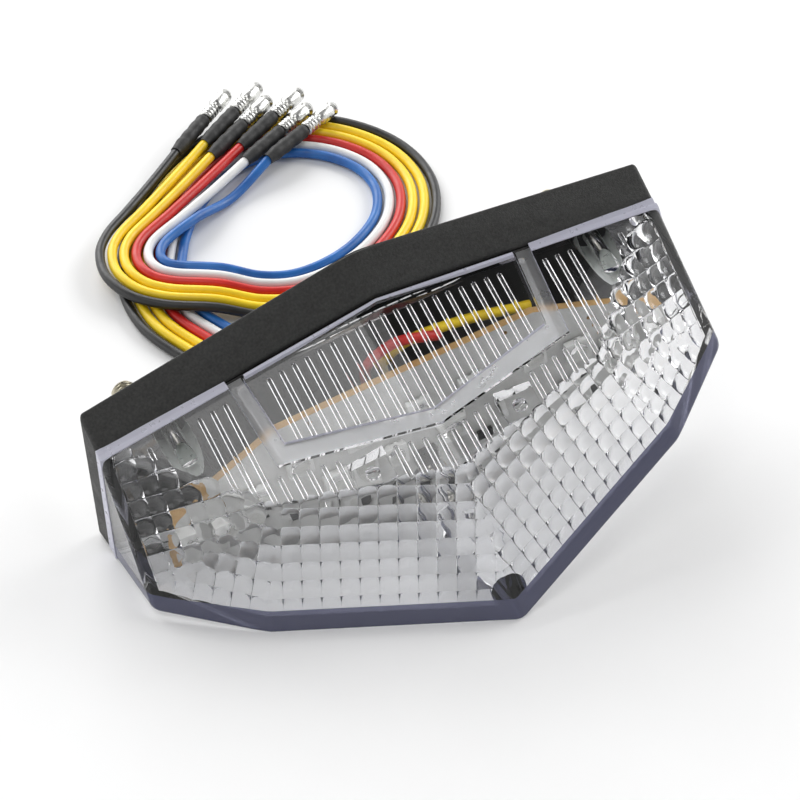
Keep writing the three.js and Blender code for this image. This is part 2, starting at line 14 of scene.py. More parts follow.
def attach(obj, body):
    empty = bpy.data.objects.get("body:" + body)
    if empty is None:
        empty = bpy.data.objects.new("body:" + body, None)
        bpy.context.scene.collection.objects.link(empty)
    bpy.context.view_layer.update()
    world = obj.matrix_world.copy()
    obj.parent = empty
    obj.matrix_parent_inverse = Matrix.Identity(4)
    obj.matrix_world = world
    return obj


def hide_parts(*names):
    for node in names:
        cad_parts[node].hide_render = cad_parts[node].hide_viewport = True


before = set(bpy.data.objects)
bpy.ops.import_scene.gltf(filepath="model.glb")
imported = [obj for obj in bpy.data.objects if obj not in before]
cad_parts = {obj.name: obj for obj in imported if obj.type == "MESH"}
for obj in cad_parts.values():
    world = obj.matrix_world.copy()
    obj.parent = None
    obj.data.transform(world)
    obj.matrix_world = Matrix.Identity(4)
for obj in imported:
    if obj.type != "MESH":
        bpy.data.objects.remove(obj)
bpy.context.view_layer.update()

scene = bpy.context.scene
MM = 0.001

# ---- driving dimensions (millimetres): the CAD model's, and finer ones that only the looks need ----
ROLL = math.radians(10)
GAP = 0.3
TOP_Z, KEEL_Z = 23.0, -28.0
SHOULDER, HIP, HIP_IN = (57, 13.5), (60.5, -17), 43
HOUSING_DEPTH, WALL = 6.3, 2.4
SCREW_POST_RADIUS, STUD_POST_RADIUS, STUD_POST_FRONT, STUD_SOCKET = 3.5, 5, -5.4, -4
BOARD_POSTS_X, BOARD_POST_Z, BOARD_POST_RADIUS = (14, 36), -6.5, 1.8
RIM_Z, RIM_SHOULDER, RIM_HIP = 16.3, (57, 8.7), (60, -17.1)
LENS_BACK, LENS_WALL, FLOOR_WALL = -7.2, 2.4, 1.7
CREST_Y, PROW_Y = -40.4, -54.0
TEMPLE, CHEEK = (34.1, -29.5), (57.4, -10.3, 3.6)
CHIN, JAW = (42.5, -37.3), (59, -24.5, -16.3)
RIDGE_Y, TOP_SLOPE_Y = -6.5, 0.4537
TOP_SLOPE_X = (RIM_Z - RIM_SHOULDER[1]) / RIM_SHOULDER[0]

FLUTE_PITCH, FLUTE_RADIUS, FLUTE_ROWS, SHORTEST_FLUTE = 2.6, 0.5, 21, 1.2
FLUTE_BACK, FLUTE_BROW = LENS_BACK - 1.8, 2.3
FLUTE_PAST_BOSS, FLUTE_PAST_PAD = -21, -35
PANE_FLUTE_BACK, PANE_FLUTE_FRONT = LENS_BACK - 1.6, 0.9
CELL, CELL_RISE, CELL_TILT = 3.5, 0.62, 0.1
CELL_STEPS, CELL_GROOVE = (0, 0.06, 0.28, 0.5, 0.72, 0.94), 0.08
# height of the lens's bottom front strip that gets a dark band of painted shade
SHADE_BAND_HEIGHT = 4.3
WINDOW_BACK, WINDOW_CORNER, WINDOW_POINT_Y = 28, (26.3, -20.5), -28
WINDOW_BACK_Y, WINDOW_DROP = -4, 0.6
WINDOW_LIP_INSET, WINDOW_LIP = 0.6, 0.5
CHANNEL_WIDTH, CHANNEL_DEPTH = 3.2, 0.7
RIM_STRIP, RIM_LIP = 0.85, 0.15
BAFFLE_WALL, BAFFLE_DEPTH = 1.5, 1.5
PAD, PAD_HALF, PAD_DEPTH, DIMPLE_RADIUS = (14.7, -31.2), 3.6, 1.3, 1.4
SIDE_BOSS, SIDE_BOSS_RADIUS, SIDE_BOSS_FRONT = (43, 6.5), 3.3, -22
KEEL_BOSS_Z, KEEL_BOSS_RADIUS = -24.2, 3.1
PILOT_RADIUS, PILOT_SPARE = 1.6, 5
SCREW_RADIUS, SCREW_HEAD_RADIUS, HEAD_DEPTH = 1.3, 3.0, 2.2
SCREWS = {"left": (-43, 6.5, -10.5), "right": (43, 6.5, -10.5), "keel": (0, -24.2, -22.0)}
SCREW_PITCH, SCREW_THREAD, SCREW_POINT = 1.1, 0.38, 1.6
CROSS_LENGTH, CROSS_WIDTH, CROSS_DEPTH = 3.4, 0.8, 1.1
STUD_X, STUD_Z, STUD_RADIUS, STUD_TIP = 45, -3, 2.5, 17.8
STUD_FOOT, STUD_THREAD_START, STUD_PITCH, STUD_THREAD = -3.7, 2.0, 0.8, 0.45
BOARD_FRONT, BOARD_THICK = -15.8, 1.6
LED_SIZE, LED_BODY, LED_DOME = 5.0, 1.5, (1.9, 0.8)
LED_PADS_X, LED_PAD = (-1.6, 0, 1.6), (0.9, 0.1, 0.5)
GROMMET, GROMMET_WAIST, GROMMET_FLANGE = (-8, -13), (8.7, 2.9), (10.2, 4.2)
LEAD_RADIUS, LANE_PITCH = 1.0, 2.45
GROMMET_RECESS, FLANGE_FACE = 1.2, -0.1
SLEEVE_RADIUS, SLEEVE_LENGTH = 1.6, 11.0
TERMINAL_RADIUS, TERMINAL_LENGTH = 1.7, 10.0

PLACE = Vector((-2.03, 18.1, -KEEL_Z * math.cos(ROLL)))
TO_FRAME = Matrix.Translation(PLACE) @ Matrix.Rotation(-ROLL, 4, "Y")
LAMP = Matrix.Scale(MM, 4) @ TO_FRAME


def keel_z(x):
    return KEEL_Z + abs(x) * math.tan(ROLL)


def top_z(x, y):
    return RIM_Z - TOP_SLOPE_X * abs(x) + TOP_SLOPE_Y * (y - RIDGE_Y)


# ---- camera ----
AIM = Vector((-0.0015, 0.0076, 0.020))
AZIMUTH, ELEVATION, DISTANCE = math.radians(-25.19), math.radians(42.55), 0.5985
look = Vector((
    -math.sin(AZIMUTH) * math.cos(ELEVATION),
    math.cos(AZIMUTH) * math.cos(ELEVATION),
    -math.sin(ELEVATION),
))
camera = bpy.data.objects.new("camera", bpy.data.cameras.new("camera"))
camera.data.lens, camera.data.sensor_width = 145.14, 36
camera.data.clip_start = 0.01
camera.location = AIM - look * DISTANCE
camera.rotation_euler = look.to_track_quat("-Z", "Y").to_euler()
scene.collection.objects.link(camera)
scene.camera = camera


# ---- materials ----
NOISE_LOW, NOISE_HIGH = 0.3, 0.7
PLASTIC_IOR = 1.53


class Paint:
    """A Principled material with short calls for the nodes that vary it."""

    def __init__(self, name, colour, roughness, metallic=0.0, **sockets):
        self.material = bpy.data.materials.new(name)
        self.material.use_nodes = True
        self.tree = self.material.node_tree
        self.shader = self.tree.nodes["Principled BSDF"]
        self.output = self.tree.nodes["Material Output"]
        self.set("Base Color", (*colour, 1))
        self.set("Roughness", roughness)
        self.set("Metallic", metallic)
        for socket, value in sockets.items():
            self.set(socket.replace("_", " "), value)
        self.place = self.node("ShaderNodeTexCoord").outputs["Object"]

    def set(self, socket, value):
        self.shader.inputs[socket].default_value = value

    def node(self, kind, **values):
        n = self.tree.nodes.new(kind)
        for key, value in values.items():
            if key in n.inputs:
                n.inputs[key].default_value = value
            else:
                setattr(n, key, value)
        return n

    def link(self, a, b):
        self.tree.links.new(a, b)

    def noise(self, size_mm, detail=3.0, rough=0.5, stretch=None):
        """Noise whose blobs are about size_mm across."""
        n = self.node("ShaderNodeTexNoise", Detail=detail, Roughness=rough)
        n.inputs["Scale"].default_value = 1 / (size_mm * MM)
        source = self.place
        if stretch:
            m = self.node("ShaderNodeMapping")
            m.inputs["Scale"].default_value = stretch
            self.link(source, m.inputs["Vector"])
            source = m.outputs["Vector"]
        self.link(source, n.inputs["Vector"])
        return n.outputs["Fac"]

    def mix_colour(self, factor, a, b):
        ramp = self.node("ShaderNodeValToRGB")
        for end, colour, position in zip(ramp.color_ramp.elements, (a, b), (NOISE_LOW, NOISE_HIGH)):
            end.color, end.position = (*colour, 1), position
        self.link(factor, ramp.inputs["Fac"])
        self.link(ramp.outputs["Color"], self.shader.inputs["Base Color"])

    def vary(self, socket, factor, low, high):
        m = self.node("ShaderNodeMapRange")
        m.inputs["From Min"].default_value, m.inputs["From Max"].default_value = NOISE_LOW, NOISE_HIGH
        m.inputs["To Min"].default_value, m.inputs["To Max"].default_value = low, high
        self.link(factor, m.inputs["Value"])
        self.link(m.outputs["Result"], self.shader.inputs[socket])

    def bump(self, height, depth_mm, strength=1.0, under=None):
        b = self.node("ShaderNodeBump", Strength=strength, Distance=depth_mm * MM)
        self.link(height, b.inputs["Height"])
        if under:
            self.link(under, b.inputs["Normal"])
        self.link(b.outputs["Normal"], self.shader.inputs["Normal"])
        return b.outputs["Normal"]


def black_plastic():
    p = Paint("moulded_black", (0.02, 0.02, 0.019), 0.55)
    p.mix_colour(p.noise(0.5), (0.012, 0.012, 0.0115), (0.03, 0.03, 0.028))
    p.vary("Roughness", p.noise(2.5), 0.48, 0.68)
    under = p.bump(p.noise(1.6, 2), 0.05, 0.5)
    p.bump(p.noise(0.3, 4, 0.65), 0.11, 1.0, under)
    return p.material


def shaded_black_inside():
    """The housing's polished inside, in a darker copy of the outer black: painted shade for the hollow,
    which shows almost black.
    """
    p = Paint("moulded_black_inside_painted_shade", (0.004, 0.004, 0.004), 0.3)
    p.mix_colour(p.noise(2.0), (0.003, 0.003, 0.003), (0.006, 0.006, 0.006))
    p.set("Specular IOR Level", 0.12)
    p.bump(p.noise(3.0, 2), 0.02)
    return p.material


def clear_with_painted_light(name, colour, clearness, roughness=0.3):
    """Clear plastic, partly see-through and partly a diffuse colour that paints in the light gathered at an
    edge as a glow, and also serves for painted shade.
    """
    p = Paint(name, colour, roughness, IOR=PLASTIC_IOR)
    p.set("Transmission Weight", clearness)
    p.vary("Roughness", p.noise(1.5), roughness * 0.8, roughness * 1.5)
    p.bump(p.noise(0.8, 3), 0.02)
    return p.material


def clear_plastic(name, tint, roughness, spread, wave_mm, clearness=1.0):
    """Clear polycarbonate, which lets lamps light what is behind it."""
    p = Paint(name, tint, roughness, IOR=PLASTIC_IOR)
    p.set("Transmission Weight", clearness)
    p.vary("Roughness", p.noise(3.0), roughness, roughness + spread)
    p.bump(p.noise(4.0, 2), wave_mm, 1.0)
    clear = p.node("ShaderNodeBsdfTransparent", Color=(*[c**0.5 for c in tint], 1))
    path = p.node("ShaderNodeLightPath")
    mix = p.node("ShaderNodeMixShader")
    p.link(path.outputs["Is Shadow Ray"], mix.inputs["Fac"])
    p.link(p.shader.outputs["BSDF"], mix.inputs[1])
    p.link(clear.outputs["BSDF"], mix.inputs[2])
    p.link(mix.outputs["Shader"], p.output.inputs["Surface"])
    return p.material


def board_mask():
    p = Paint("solder_mask", (0.62, 0.62, 0.6), 0.4)
    p.mix_colour(p.noise(6.0, 4), (0.56, 0.56, 0.545), (0.66, 0.66, 0.64))
    p.vary("Roughness", p.noise(1.2), 0.32, 0.5)
    p.bump(p.noise(0.4), 0.01)
    return p.material


def laminate():
    p = Paint("laminate", (0.62, 0.4, 0.17), 0.7)
    p.mix_colour(p.noise(0.4, 3, 0.6, (1, 8, 1)), (0.42, 0.24, 0.08), (0.6, 0.38, 0.15))
    p.bump(p.noise(0.2), 0.03)
    return p.material


def insulation(name, dark, light):
    p = Paint(name, light, 0.38)
    p.mix_colour(p.noise(5.0, 3), dark, light)
    p.vary("Roughness", p.noise(1.5), 0.3, 0.46)
    p.bump(p.noise(0.5, 3), 0.02)
    return p.material


def rubber(name, size_mm):
    p = Paint(name, (0.014, 0.014, 0.014), 0.6)
    p.mix_colour(p.noise(1.5), (0.009, 0.009, 0.009), (0.022, 0.022, 0.022))
    p.vary("Roughness", p.noise(1.0), 0.5, 0.7)
    p.bump(p.noise(size_mm, 3), 0.05)
    return p.material


def metal(name, dark, light, low, high, scratch_mm=0.25):
    p = Paint(name, light, 0.3, 1.0)
    p.mix_colour(p.noise(1.2, 4), dark, light)
    p.vary("Roughness", p.noise(0.8, 3), low, high)
    p.bump(p.noise(scratch_mm, 3), 0.01)
    return p.material


BLACK = black_plastic()
# the housing's inside: a darker copy of the black, painted shade
SHADED_BLACK_INSIDE = shaded_black_inside()
CLEAR = clear_plastic("clear_lens", (0.962, 0.964, 0.972), 0.0, 0.02, 0.003)
FROSTED = clear_plastic("frosted_lens", (0.95, 0.955, 0.97), 0.25, 0.2, 0.03, 0.87)
# painted glow: a lavender, mostly diffuse colour on the lens's rim, the channel's sides and the window's lip
# and edges, where light gathers in the clear plastic
RIM_PAINTED_GLOW = clear_with_painted_light("lens_rim_painted_glow", (0.66, 0.66, 0.78), 0.3)
# painted shade: a dark, mostly opaque indigo colour on the lens's bottom front strip, for the shade seen
# through the clear plastic there
BAND_PAINTED_SHADE = clear_with_painted_light("lens_band_painted_shade", (0.09, 0.095, 0.17), 0.35, 0.12)
# painted glow: a pale, partly diffuse colour on the clear side bosses, for the light gathered in them
BOSS_PAINTED_GLOW = clear_with_painted_light("boss_side_painted_glow", (0.78, 0.82, 0.79), 0.7)
EPOXY = clear_plastic("led_epoxy", (0.985, 0.985, 0.97), 0.01, 0.03, 0.002)
MASK = board_mask()
CERAMIC = insulation("led_ceramic", (0.7, 0.7, 0.68), (0.8, 0.8, 0.78))
LAMINATE = laminate()
SEAL = rubber("seal_rubber", 0.3)
GROMMET_RUBBER = rubber("grommet_rubber", 0.5)
SHRINK = rubber("heat_shrink", 1.2)
CHIP = rubber("chip_epoxy", 0.2)
SCREW_STEEL = metal("screw_zinc", (0.5, 0.48, 0.43), (0.72, 0.7, 0.65), 0.22, 0.42)
STUD_STEEL = metal("stud_zinc", (0.46, 0.42, 0.32), (0.72, 0.67, 0.53), 0.24, 0.45)
TIN = metal("tinned_brass", (0.6, 0.6, 0.58), (0.82, 0.82, 0.8), 0.2, 0.4)
LEAD_PAINTS = {
    "black": insulation("insulation_black", (0.009, 0.009, 0.01), (0.02, 0.02, 0.02)),
    "yellow": insulation("insulation_yellow", (0.88, 0.6, 0.01), (0.97, 0.7, 0.02)),
    "red": insulation("insulation_red", (0.5, 0.012, 0.01), (0.64, 0.02, 0.014)),
    "white": insulation("insulation_white", (0.74, 0.74, 0.73), (0.85, 0.85, 0.84)),
    "blue": insulation("insulation_blue", (0.012, 0.1, 0.36), (0.02, 0.16, 0.5)),
}


# ---- mesh helpers ----
def mesh_object(name, bm, matrix=LAMP, materials=(BLACK,), smooth=35):
    """A new object whose mesh is bm put in the frame, smooth but for edges sharper than smooth degrees."""
    bmesh.ops.recalc_face_normals(bm, faces=bm.faces)
    mesh = bpy.data.meshes.new(name)
    bm.to_mesh(mesh)
    bm.free()
    mesh.transform(matrix)
    for m in materials:
        mesh.materials.append(m)
    for polygon in mesh.polygons:
        polygon.use_smooth = True
    mesh.set_sharp_from_angle(angle=math.radians(smooth))
    obj = bpy.data.objects.new(name, mesh)
    scene.collection.objects.link(obj)
    weighted = obj.modifiers.new("weighted_normals", "WEIGHTED_NORMAL")
    weighted.keep_sharp = True
    return obj


def place_piece(obj, nodes):
    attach(obj, "root")
    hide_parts(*nodes)
    return obj


def paint_faces(obj, choose):
    """Gives each face the one of obj's materials that choose(middle, normal) returns, in lamp axes."""
    back = LAMP.inverted()
    turn = back.to_3x3()
    slots = {m.name: i for i, m in enumerate(obj.data.materials)}
    for polygon in obj.data.polygons:
        paint = choose(back @ polygon.center, (turn @ polygon.normal).normalized())
        polygon.material_index = slots[paint.name]


def mirrored(points):
    return list(points) + [(-p[0], p[1], p[2]) for p in points if p[0] != 0]


def round_edges(bm, offset, segments=2, edges=None):
    bmesh.ops.bevel(
        bm, geom=edges or list(bm.edges), offset=offset, segments=segments, profile=0.5, affect="EDGES"
    )


def block(centre, size, rounding=0.0):
    """A box, with its edges rounded where rounding is given."""
    bm = bmesh.new()
    bmesh.ops.create_cube(bm, size=1)
    bm.transform(Matrix.Translation(centre) @ Matrix.Diagonal((*size, 1)))
    if rounding:
        round_edges(bm, rounding)
    return bm


def hull(points, bevel=0.0, segments=5, keep=None):
    """The convex hull of points, with every edge rounded but those for which keep(edge) is true."""
    bm = bmesh.new()
    for p in points:
        bm.verts.new(p)
    made = bmesh.ops.convex_hull(bm, input=bm.verts)
    loose = [v for v in made["geom_interior"] if isinstance(v, bmesh.types.BMVert)]
    bmesh.ops.delete(bm, geom=loose, context="VERTS")
    bmesh.ops.dissolve_limit(bm, angle_limit=math.radians(2), verts=bm.verts, edges=bm.edges)
    if bevel:
        edges = [e for e in bm.edges if not (keep and keep(e))]
        bmesh.ops.bevel(
            bm, geom=edges, offset=bevel, segments=segments, profile=0.5, affect="EDGES", clamp_overlap=True
        )
    bmesh.ops.triangulate(bm, faces=[f for f in bm.faces if len(f.verts) > 4])
    return bm


def prism(outline, axis, low, high):
    """A plate from low to high along axis ("z" or "y"), whose outline is in the other two coordinates."""
    bm = bmesh.new()
    ends = []
    for depth in (low, high):
        if axis == "z":
            ends.append([bm.verts.new((a, b, depth)) for a, b in outline])
        else:
            ends.append([bm.verts.new((a, depth, b)) for a, b in outline])
    bm.faces.new(ends[0])
    bm.faces.new(list(reversed(ends[1])))
    count = len(outline)
    for i in range(count):
        j = (i + 1) % count
        bm.faces.new((ends[0][j], ends[0][i], ends[1][i], ends[1][j]))
    bmesh.ops.recalc_face_normals(bm, faces=bm.faces)
    bmesh.ops.triangulate(bm, faces=[f for f in bm.faces if len(f.verts) > 4])
    return bm


def slot_outline(centre, half_length, half_height, steps=16):
    """A rounded slot's outline: two half circles."""
    x, z = centre
    reach = half_length - half_height
    arcs = []
    for side, start in ((1, -math.pi / 2), (-1, math.pi / 2)):
        for i in range(steps + 1):
            a = start + math.pi * i / steps
            arcs.append((x + side * reach + half_height * math.cos(a), z + half_height * math.sin(a)))
    return arcs


def lathe(profile, sides=32, thread=None):
    """A turned body about +Z: profile is [(radius, height)], closed at both ends on the axis.

    thread(height, turn) is taken off the radius, so a groove can wind round it.
    """
    bm = bmesh.new()
    rings = []
    for radius, height in profile:
        if radius == 0:
            rings.append([bm.verts.new((0, 0, height))])
            continue
        ring = []
        for i in range(sides):
            turn = i / sides
            r = radius - (thread(height, turn) if thread else 0)
            a = 2 * math.pi * turn
            ring.append(bm.verts.new((r * math.cos(a), r * math.sin(a), height)))
        rings.append(ring)
    for low, high in zip(rings, rings[1:]):
        for i in range(sides):
            j = (i + 1) % sides
            if len(low) == 1:
                bm.faces.new((low[0], high[j], high[i]))
            elif len(high) == 1:
                bm.faces.new((low[i], low[j], high[0]))
            else:
                bm.faces.new((low[i], low[j], high[j], high[i]))
    bmesh.ops.recalc_face_normals(bm, faces=bm.faces)
    return bm


def along_y(bm, x, y, z):
    """Turns a body made about +Z so that its height runs towards -y from (x, y, z)."""
    bm.transform(Matrix.Translation((x, y, z)) @ Matrix.Rotation(math.pi / 2, 4, "X"))
    return bm


def rod(x, z, y_back, y_front, radius, sides=32):
    """A round bar that runs along y."""
    length = y_back - y_front
    return along_y(lathe([(0, 0), (radius, 0), (radius, length), (0, length)], sides), x, y_back, z)


def rod_between(a, b, radius, sides=16):
    """A bar from a to b, with domed ends."""
    a, b = Vector(a), Vector(b)
    length = (b - a).length
    cap = [(radius * math.sin(t * math.pi / 8), -radius * math.cos(t * math.pi / 8)) for t in range(5)]
    profile = cap + [(r, length - h) for r, h in reversed(cap)]
    bm = lathe(profile, sides)
    bm.transform(Matrix.Translation(a) @ (b - a).to_track_quat("Z", "Y").to_matrix().to_4x4())
    return bm


def joined(bodies):
    """Several bodies that don't touch, as one."""
    bm = bmesh.new()
    for body in bodies:
        mesh = bpy.data.meshes.new("part")
        body.to_mesh(mesh)
        body.free()
        bm.from_mesh(mesh)
        bpy.data.meshes.remove(mesh)
    return bm


def combined(a, b, operation):
    """a with b added ("UNION"), taken away ("DIFFERENCE") or kept in common ("INTERSECT")."""
    objects = []
    for bm in (a, b):
        mesh = bpy.data.meshes.new("operand")
        bm.to_mesh(mesh)
        bm.free()
        obj = bpy.data.objects.new("operand", mesh)
        scene.collection.objects.link(obj)
        objects.append(obj)
    modifier = objects[0].modifiers.new("boolean", "BOOLEAN")
    modifier.object, modifier.operation, modifier.solver = objects[1], operation, "MANIFOLD"
    graph = bpy.context.evaluated_depsgraph_get()
    result = bpy.data.meshes.new_from_object(objects[0].evaluated_get(graph))
    bm = bmesh.new()
    bm.from_mesh(result)
    bpy.data.meshes.remove(result)
    for obj in objects:
        mesh = obj.data
        bpy.data.objects.remove(obj)
        bpy.data.meshes.remove(mesh)
    if not bm.faces:
        raise ValueError(f"{operation} gave nothing")
    return bm


# ---- cords, in frame axes and millimetres ----
LIFT = LEAD_RADIUS + 0.2
OVER = LIFT + 2 * LEAD_RADIUS + 0.35
END_Z = LIFT + LEAD_RADIUS + GAP + SLEEVE_RADIUS
EXIT = TO_FRAME @ Vector((GROMMET[0], FLANGE_FACE + GAP, GROMMET[1]))
ROUTE = [
    (-8, 24.5, 13.9), (-9, 31, 10.6), (-11, 37.5, 6.4), (-13.5, 44, 3), (-17, 51, 1.6),
    (-20.5, 58, LIFT), (-24, 68, LIFT), (-23.5, 78, LIFT), (-19.5, 88, LIFT), (-13, 98, LIFT),
    (-3.5, 107, LIFT), (7, 112.5, LIFT), (19, 112.5, LIFT), (29, 107, LIFT), (35.5, 97.5, LIFT),
    (36.5, 87, LIFT), (32, 76.5, LIFT), (23, 68.5, LIFT), (13, 64.3, LIFT), (3, 63.5, LIFT),
    (-5, 65.6, LIFT + 0.6), (-12.5, 69.5, OVER), (-21, 74.5, OVER), (-24.2, 77.9, OVER),
    (-25.6, 82.5, OVER), (-24.7, 87.1, OVER), (-22, 90.8, OVER),
]
LEADS = [
    # name, colour, end on the table, height where it sags, real length in metres
    ("black", "black", (-3, 113.9), OVER, 0.323),
    ("yellow_left", "yellow", (3.5, 114), OVER, 0.311),
    ("yellow_right", "yellow", (3.2, 109.5), OVER, 0.290),
    ("red", "red", (10, 109.7), OVER, 0.278),
    ("white", "white", (9.1, 104.8), OVER, 0.257),
    ("blue", "blue", (13.6, 103.3), LIFT + 0.2, 0.243),
]
LANE_MIDDLE = (len(LEADS) - 1) / 2


def lead_points(lane, end, sag):
    """The route's points moved sideways into one lane, and on to the lead's own end."""
    middle = [EXIT] + [Vector(p) for p in ROUTE]
    points = []
    for i, p in enumerate(middle):
        back, ahead = middle[max(i - 1, 0)], middle[min(i + 1, len(middle) - 1)]
        side = Vector((back.y - ahead.y, ahead.x - back.x, 0)) if i else Vector((-1, 0, 0))
        points.append(p + side.normalized() * lane)
    start, last = points[-1], Vector((*end, END_Z))
    for share, height in ((0.28, OVER), (0.62, sag)):
        p = start.lerp(last, share)
        points.append(Vector((p.x, p.y, height)))
    return points + [last]


def smooth_curve(name, points, radius, material):
    """A centripetal Catmull-Rom curve through points (mm), as one open Bezier spline."""
    curve = bpy.data.curves.new(name, "CURVE")
    curve.dimensions = "3D"
    curve.bevel_depth, curve.bevel_resolution, curve.resolution_u = radius * MM, 6, 8
    curve.use_fill_caps = True
    spline = curve.splines.new("BEZIER")
    spline.bezier_points.add(len(points) - 1)
    padded = [2 * points[0] - points[1]] + points + [2 * points[-1] - points[-2]]
    for i, knot in enumerate(spline.bezier_points):
        before, here, after = padded[i], padded[i + 1], padded[i + 2]
        t0, t1 = math.sqrt((here - before).length), math.sqrt((after - here).length)
        slope = (here - before) / t0 - (after - before) / (t0 + t1) + (after - here) / t1
        knot.handle_left_type = knot.handle_right_type = "FREE"
        knot.co = here * MM
        knot.handle_left = (here - slope * t0 / 3) * MM
        knot.handle_right = (here + slope * t1 / 3) * MM
        heading = slope
    curve.materials.append(material)
    obj = bpy.data.objects.new(name, curve)
    scene.collection.objects.link(obj)
    return obj, Vector((heading.x, heading.y, 0)).normalized()


def sleeve_body():
    """A shrunk sleeve: a thin mouth that grips the lead, then a wavy body."""
    profile = [(0, 0.2), (LEAD_RADIUS + 0.04, 0.2), (LEAD_RADIUS + 0.04, -1.6), (LEAD_RADIUS + 0.2, -1.6)]
    profile += [(LEAD_RADIUS + 0.26, -0.8), (1.45, 0.6)]
    steps = 14
    for i in range(steps + 1):
        d = 1.4 + (SLEEVE_LENGTH - 2.2) * i / steps
        profile.append((SLEEVE_RADIUS - 0.07 + 0.07 * math.sin(d * 1.9), d))
    profile += [(SLEEVE_RADIUS - 0.2, SLEEVE_LENGTH - 0.2), (1.25, SLEEVE_LENGTH), (0, SLEEVE_LENGTH)]
    return lathe(profile, 28)


def terminal_body():
    """A crimped bullet terminal: ribbed barrel, neck, and a domed tip."""
    r = TERMINAL_RADIUS
    profile = [(0, 0), (1.3, 0), (1.5, 0.2)]
    for i in range(3):
        d = 0.5 + i * 1.0
        profile += [(1.55, d), (1.32, d + 0.25), (1.32, d + 0.5), (1.55, d + 0.75)]
    profile += [(1.2, 3.7), (1.1, 4.2), (r, 4.9), (r, 7.9), (1.25, 8.4), (1.2, 8.7)]
    profile += [(r - 0.1, 9.1), (1.3, 9.7), (0.7, TERMINAL_LENGTH), (0, TERMINAL_LENGTH)]
    return lathe(profile, 28)


for i, (name, colour, end, sag, length) in enumerate(LEADS):
    points = lead_points((LANE_MIDDLE - i) * LANE_PITCH, end, sag)
    wire, heading = smooth_curve(f"wire_{name}", points, LEAD_RADIUS, LEAD_PAINTS[colour])
    turn = heading.to_track_quat("Z", "Y").to_matrix().to_4x4()
    for kind, body, paint, slot, start in (
        ("sleeve", sleeve_body(), SHRINK, "sleeve_rubber", GAP),
        ("terminal", terminal_body(), TIN, "terminal_tin", 2 * GAP + SLEEVE_LENGTH),
    ):
        matrix = Matrix.Scale(MM, 4) @ Matrix.Translation(points[-1] + heading * start) @ turn
        piece = mesh_object(f"{kind}_on_{name}", body, matrix, (paint,), 50)
        place_piece(piece, [f"{kind}_{name}"])
    place_piece(wire, [f"lead_{name}"])


# ---- housing ----
BACK_RING = mirrored([
    (0, 0, TOP_Z),
    (SHOULDER[0], 0, SHOULDER[1]),
    (HIP[0], 0, HIP[1]),
    (HIP_IN, 0, keel_z(HIP_IN)),
    (0, 0, KEEL_Z),
])
RIM_RING = mirrored([
    (0, -HOUSING_DEPTH, RIM_Z),
    (RIM_SHOULDER[0], -HOUSING_DEPTH, RIM_SHOULDER[1]),
    (RIM_HIP[0], -HOUSING_DEPTH, RIM_HIP[1]),
    (HIP_IN, -HOUSING_DEPTH, keel_z(HIP_IN)),
    (0, -HOUSING_DEPTH, KEEL_Z),
])


def inset(ring, distance, y):
    """The ring moved inwards and to a given y. Its upper and lower walls slope, so they move further."""
    further = distance * 1.1
    moved = []
    for x, _, z in ring:
        side = math.copysign(distance, x) if x else 0
        moved.append((x - side, y, z - math.copysign(further, z)))
    return moved


def on_outside(p):
    """Whether a point lies on the housing's outer walls, to within about a millimetre."""
    a = abs(p.x)
    share = -p.y / HOUSING_DEPTH
    shoulder_z = SHOULDER[1] + (RIM_SHOULDER[1] - SHOULDER[1]) * share
    ridge_z = TOP_Z + (RIM_Z - TOP_Z) * share
    roof = ridge_z + (shoulder_z - ridge_z) * a / SHOULDER[0]
    return p.z > roof - 1.2 or p.z < keel_z(a) + 1.2 and a < HIP_IN or a > SHOULDER[0] - 0.8


def housing():
    body = hull(BACK_RING + RIM_RING, 0.7)
    cavity = hull(inset(BACK_RING, WALL, -WALL) + inset(RIM_RING, WALL, -HOUSING_DEPTH - 1))
    body = combined(body, cavity, "DIFFERENCE")
    for x, z, _ in SCREWS.values():
        body = combined(body, rod(x, z, -1, -HOUSING_DEPTH, SCREW_POST_RADIUS), "UNION")
    board_back = BOARD_FRONT + BOARD_THICK + GAP
    for side in (-1, 1):
        stud_post = rod(side * STUD_X, STUD_Z, -1, STUD_POST_FRONT, STUD_POST_RADIUS)
        body = combined(body, stud_post, "UNION")
        for x in BOARD_POSTS_X:
            board_post = rod(side * x, BOARD_POST_Z, -1, board_back, BOARD_POST_RADIUS)
            body = combined(body, board_post, "UNION")
    for x, z, _ in SCREWS.values():
        body = combined(body, rod(x, z, 1, -HEAD_DEPTH, SCREW_HEAD_RADIUS + GAP), "DIFFERENCE")
        body = combined(body, rod(x, z, 1, -HOUSING_DEPTH - 1, SCREW_RADIUS + GAP), "DIFFERENCE")
    for side in (-1, 1):
        socket = rod(side * STUD_X, STUD_Z, 1, STUD_SOCKET, STUD_RADIUS + GAP)
        body = combined(body, socket, "DIFFERENCE")
    for (length, height), low in ((GROMMET_WAIST, -WALL - 1), (GROMMET_FLANGE, -GROMMET_RECESS)):
        opening = slot_outline(GROMMET, length + GAP, height + GAP)
        body = combined(body, prism(opening, "y", low, 1), "DIFFERENCE")
    return body


def housing_face(p, normal):
    """The darker black of painted shade on the tray's hollow and on the board's posts, and the outer black
    elsewhere.
    """
    post = p.y < -HOUSING_DEPTH - 0.5
    hollow = p.y < -WALL + 0.1 and not on_outside(p)
    return SHADED_BLACK_INSIDE if post or hollow else BLACK


housing_piece = mesh_object("housing_shell", housing(), materials=(BLACK, SHADED_BLACK_INSIDE))
paint_faces(housing_piece, housing_face)
place_piece(housing_piece, ["housing"])

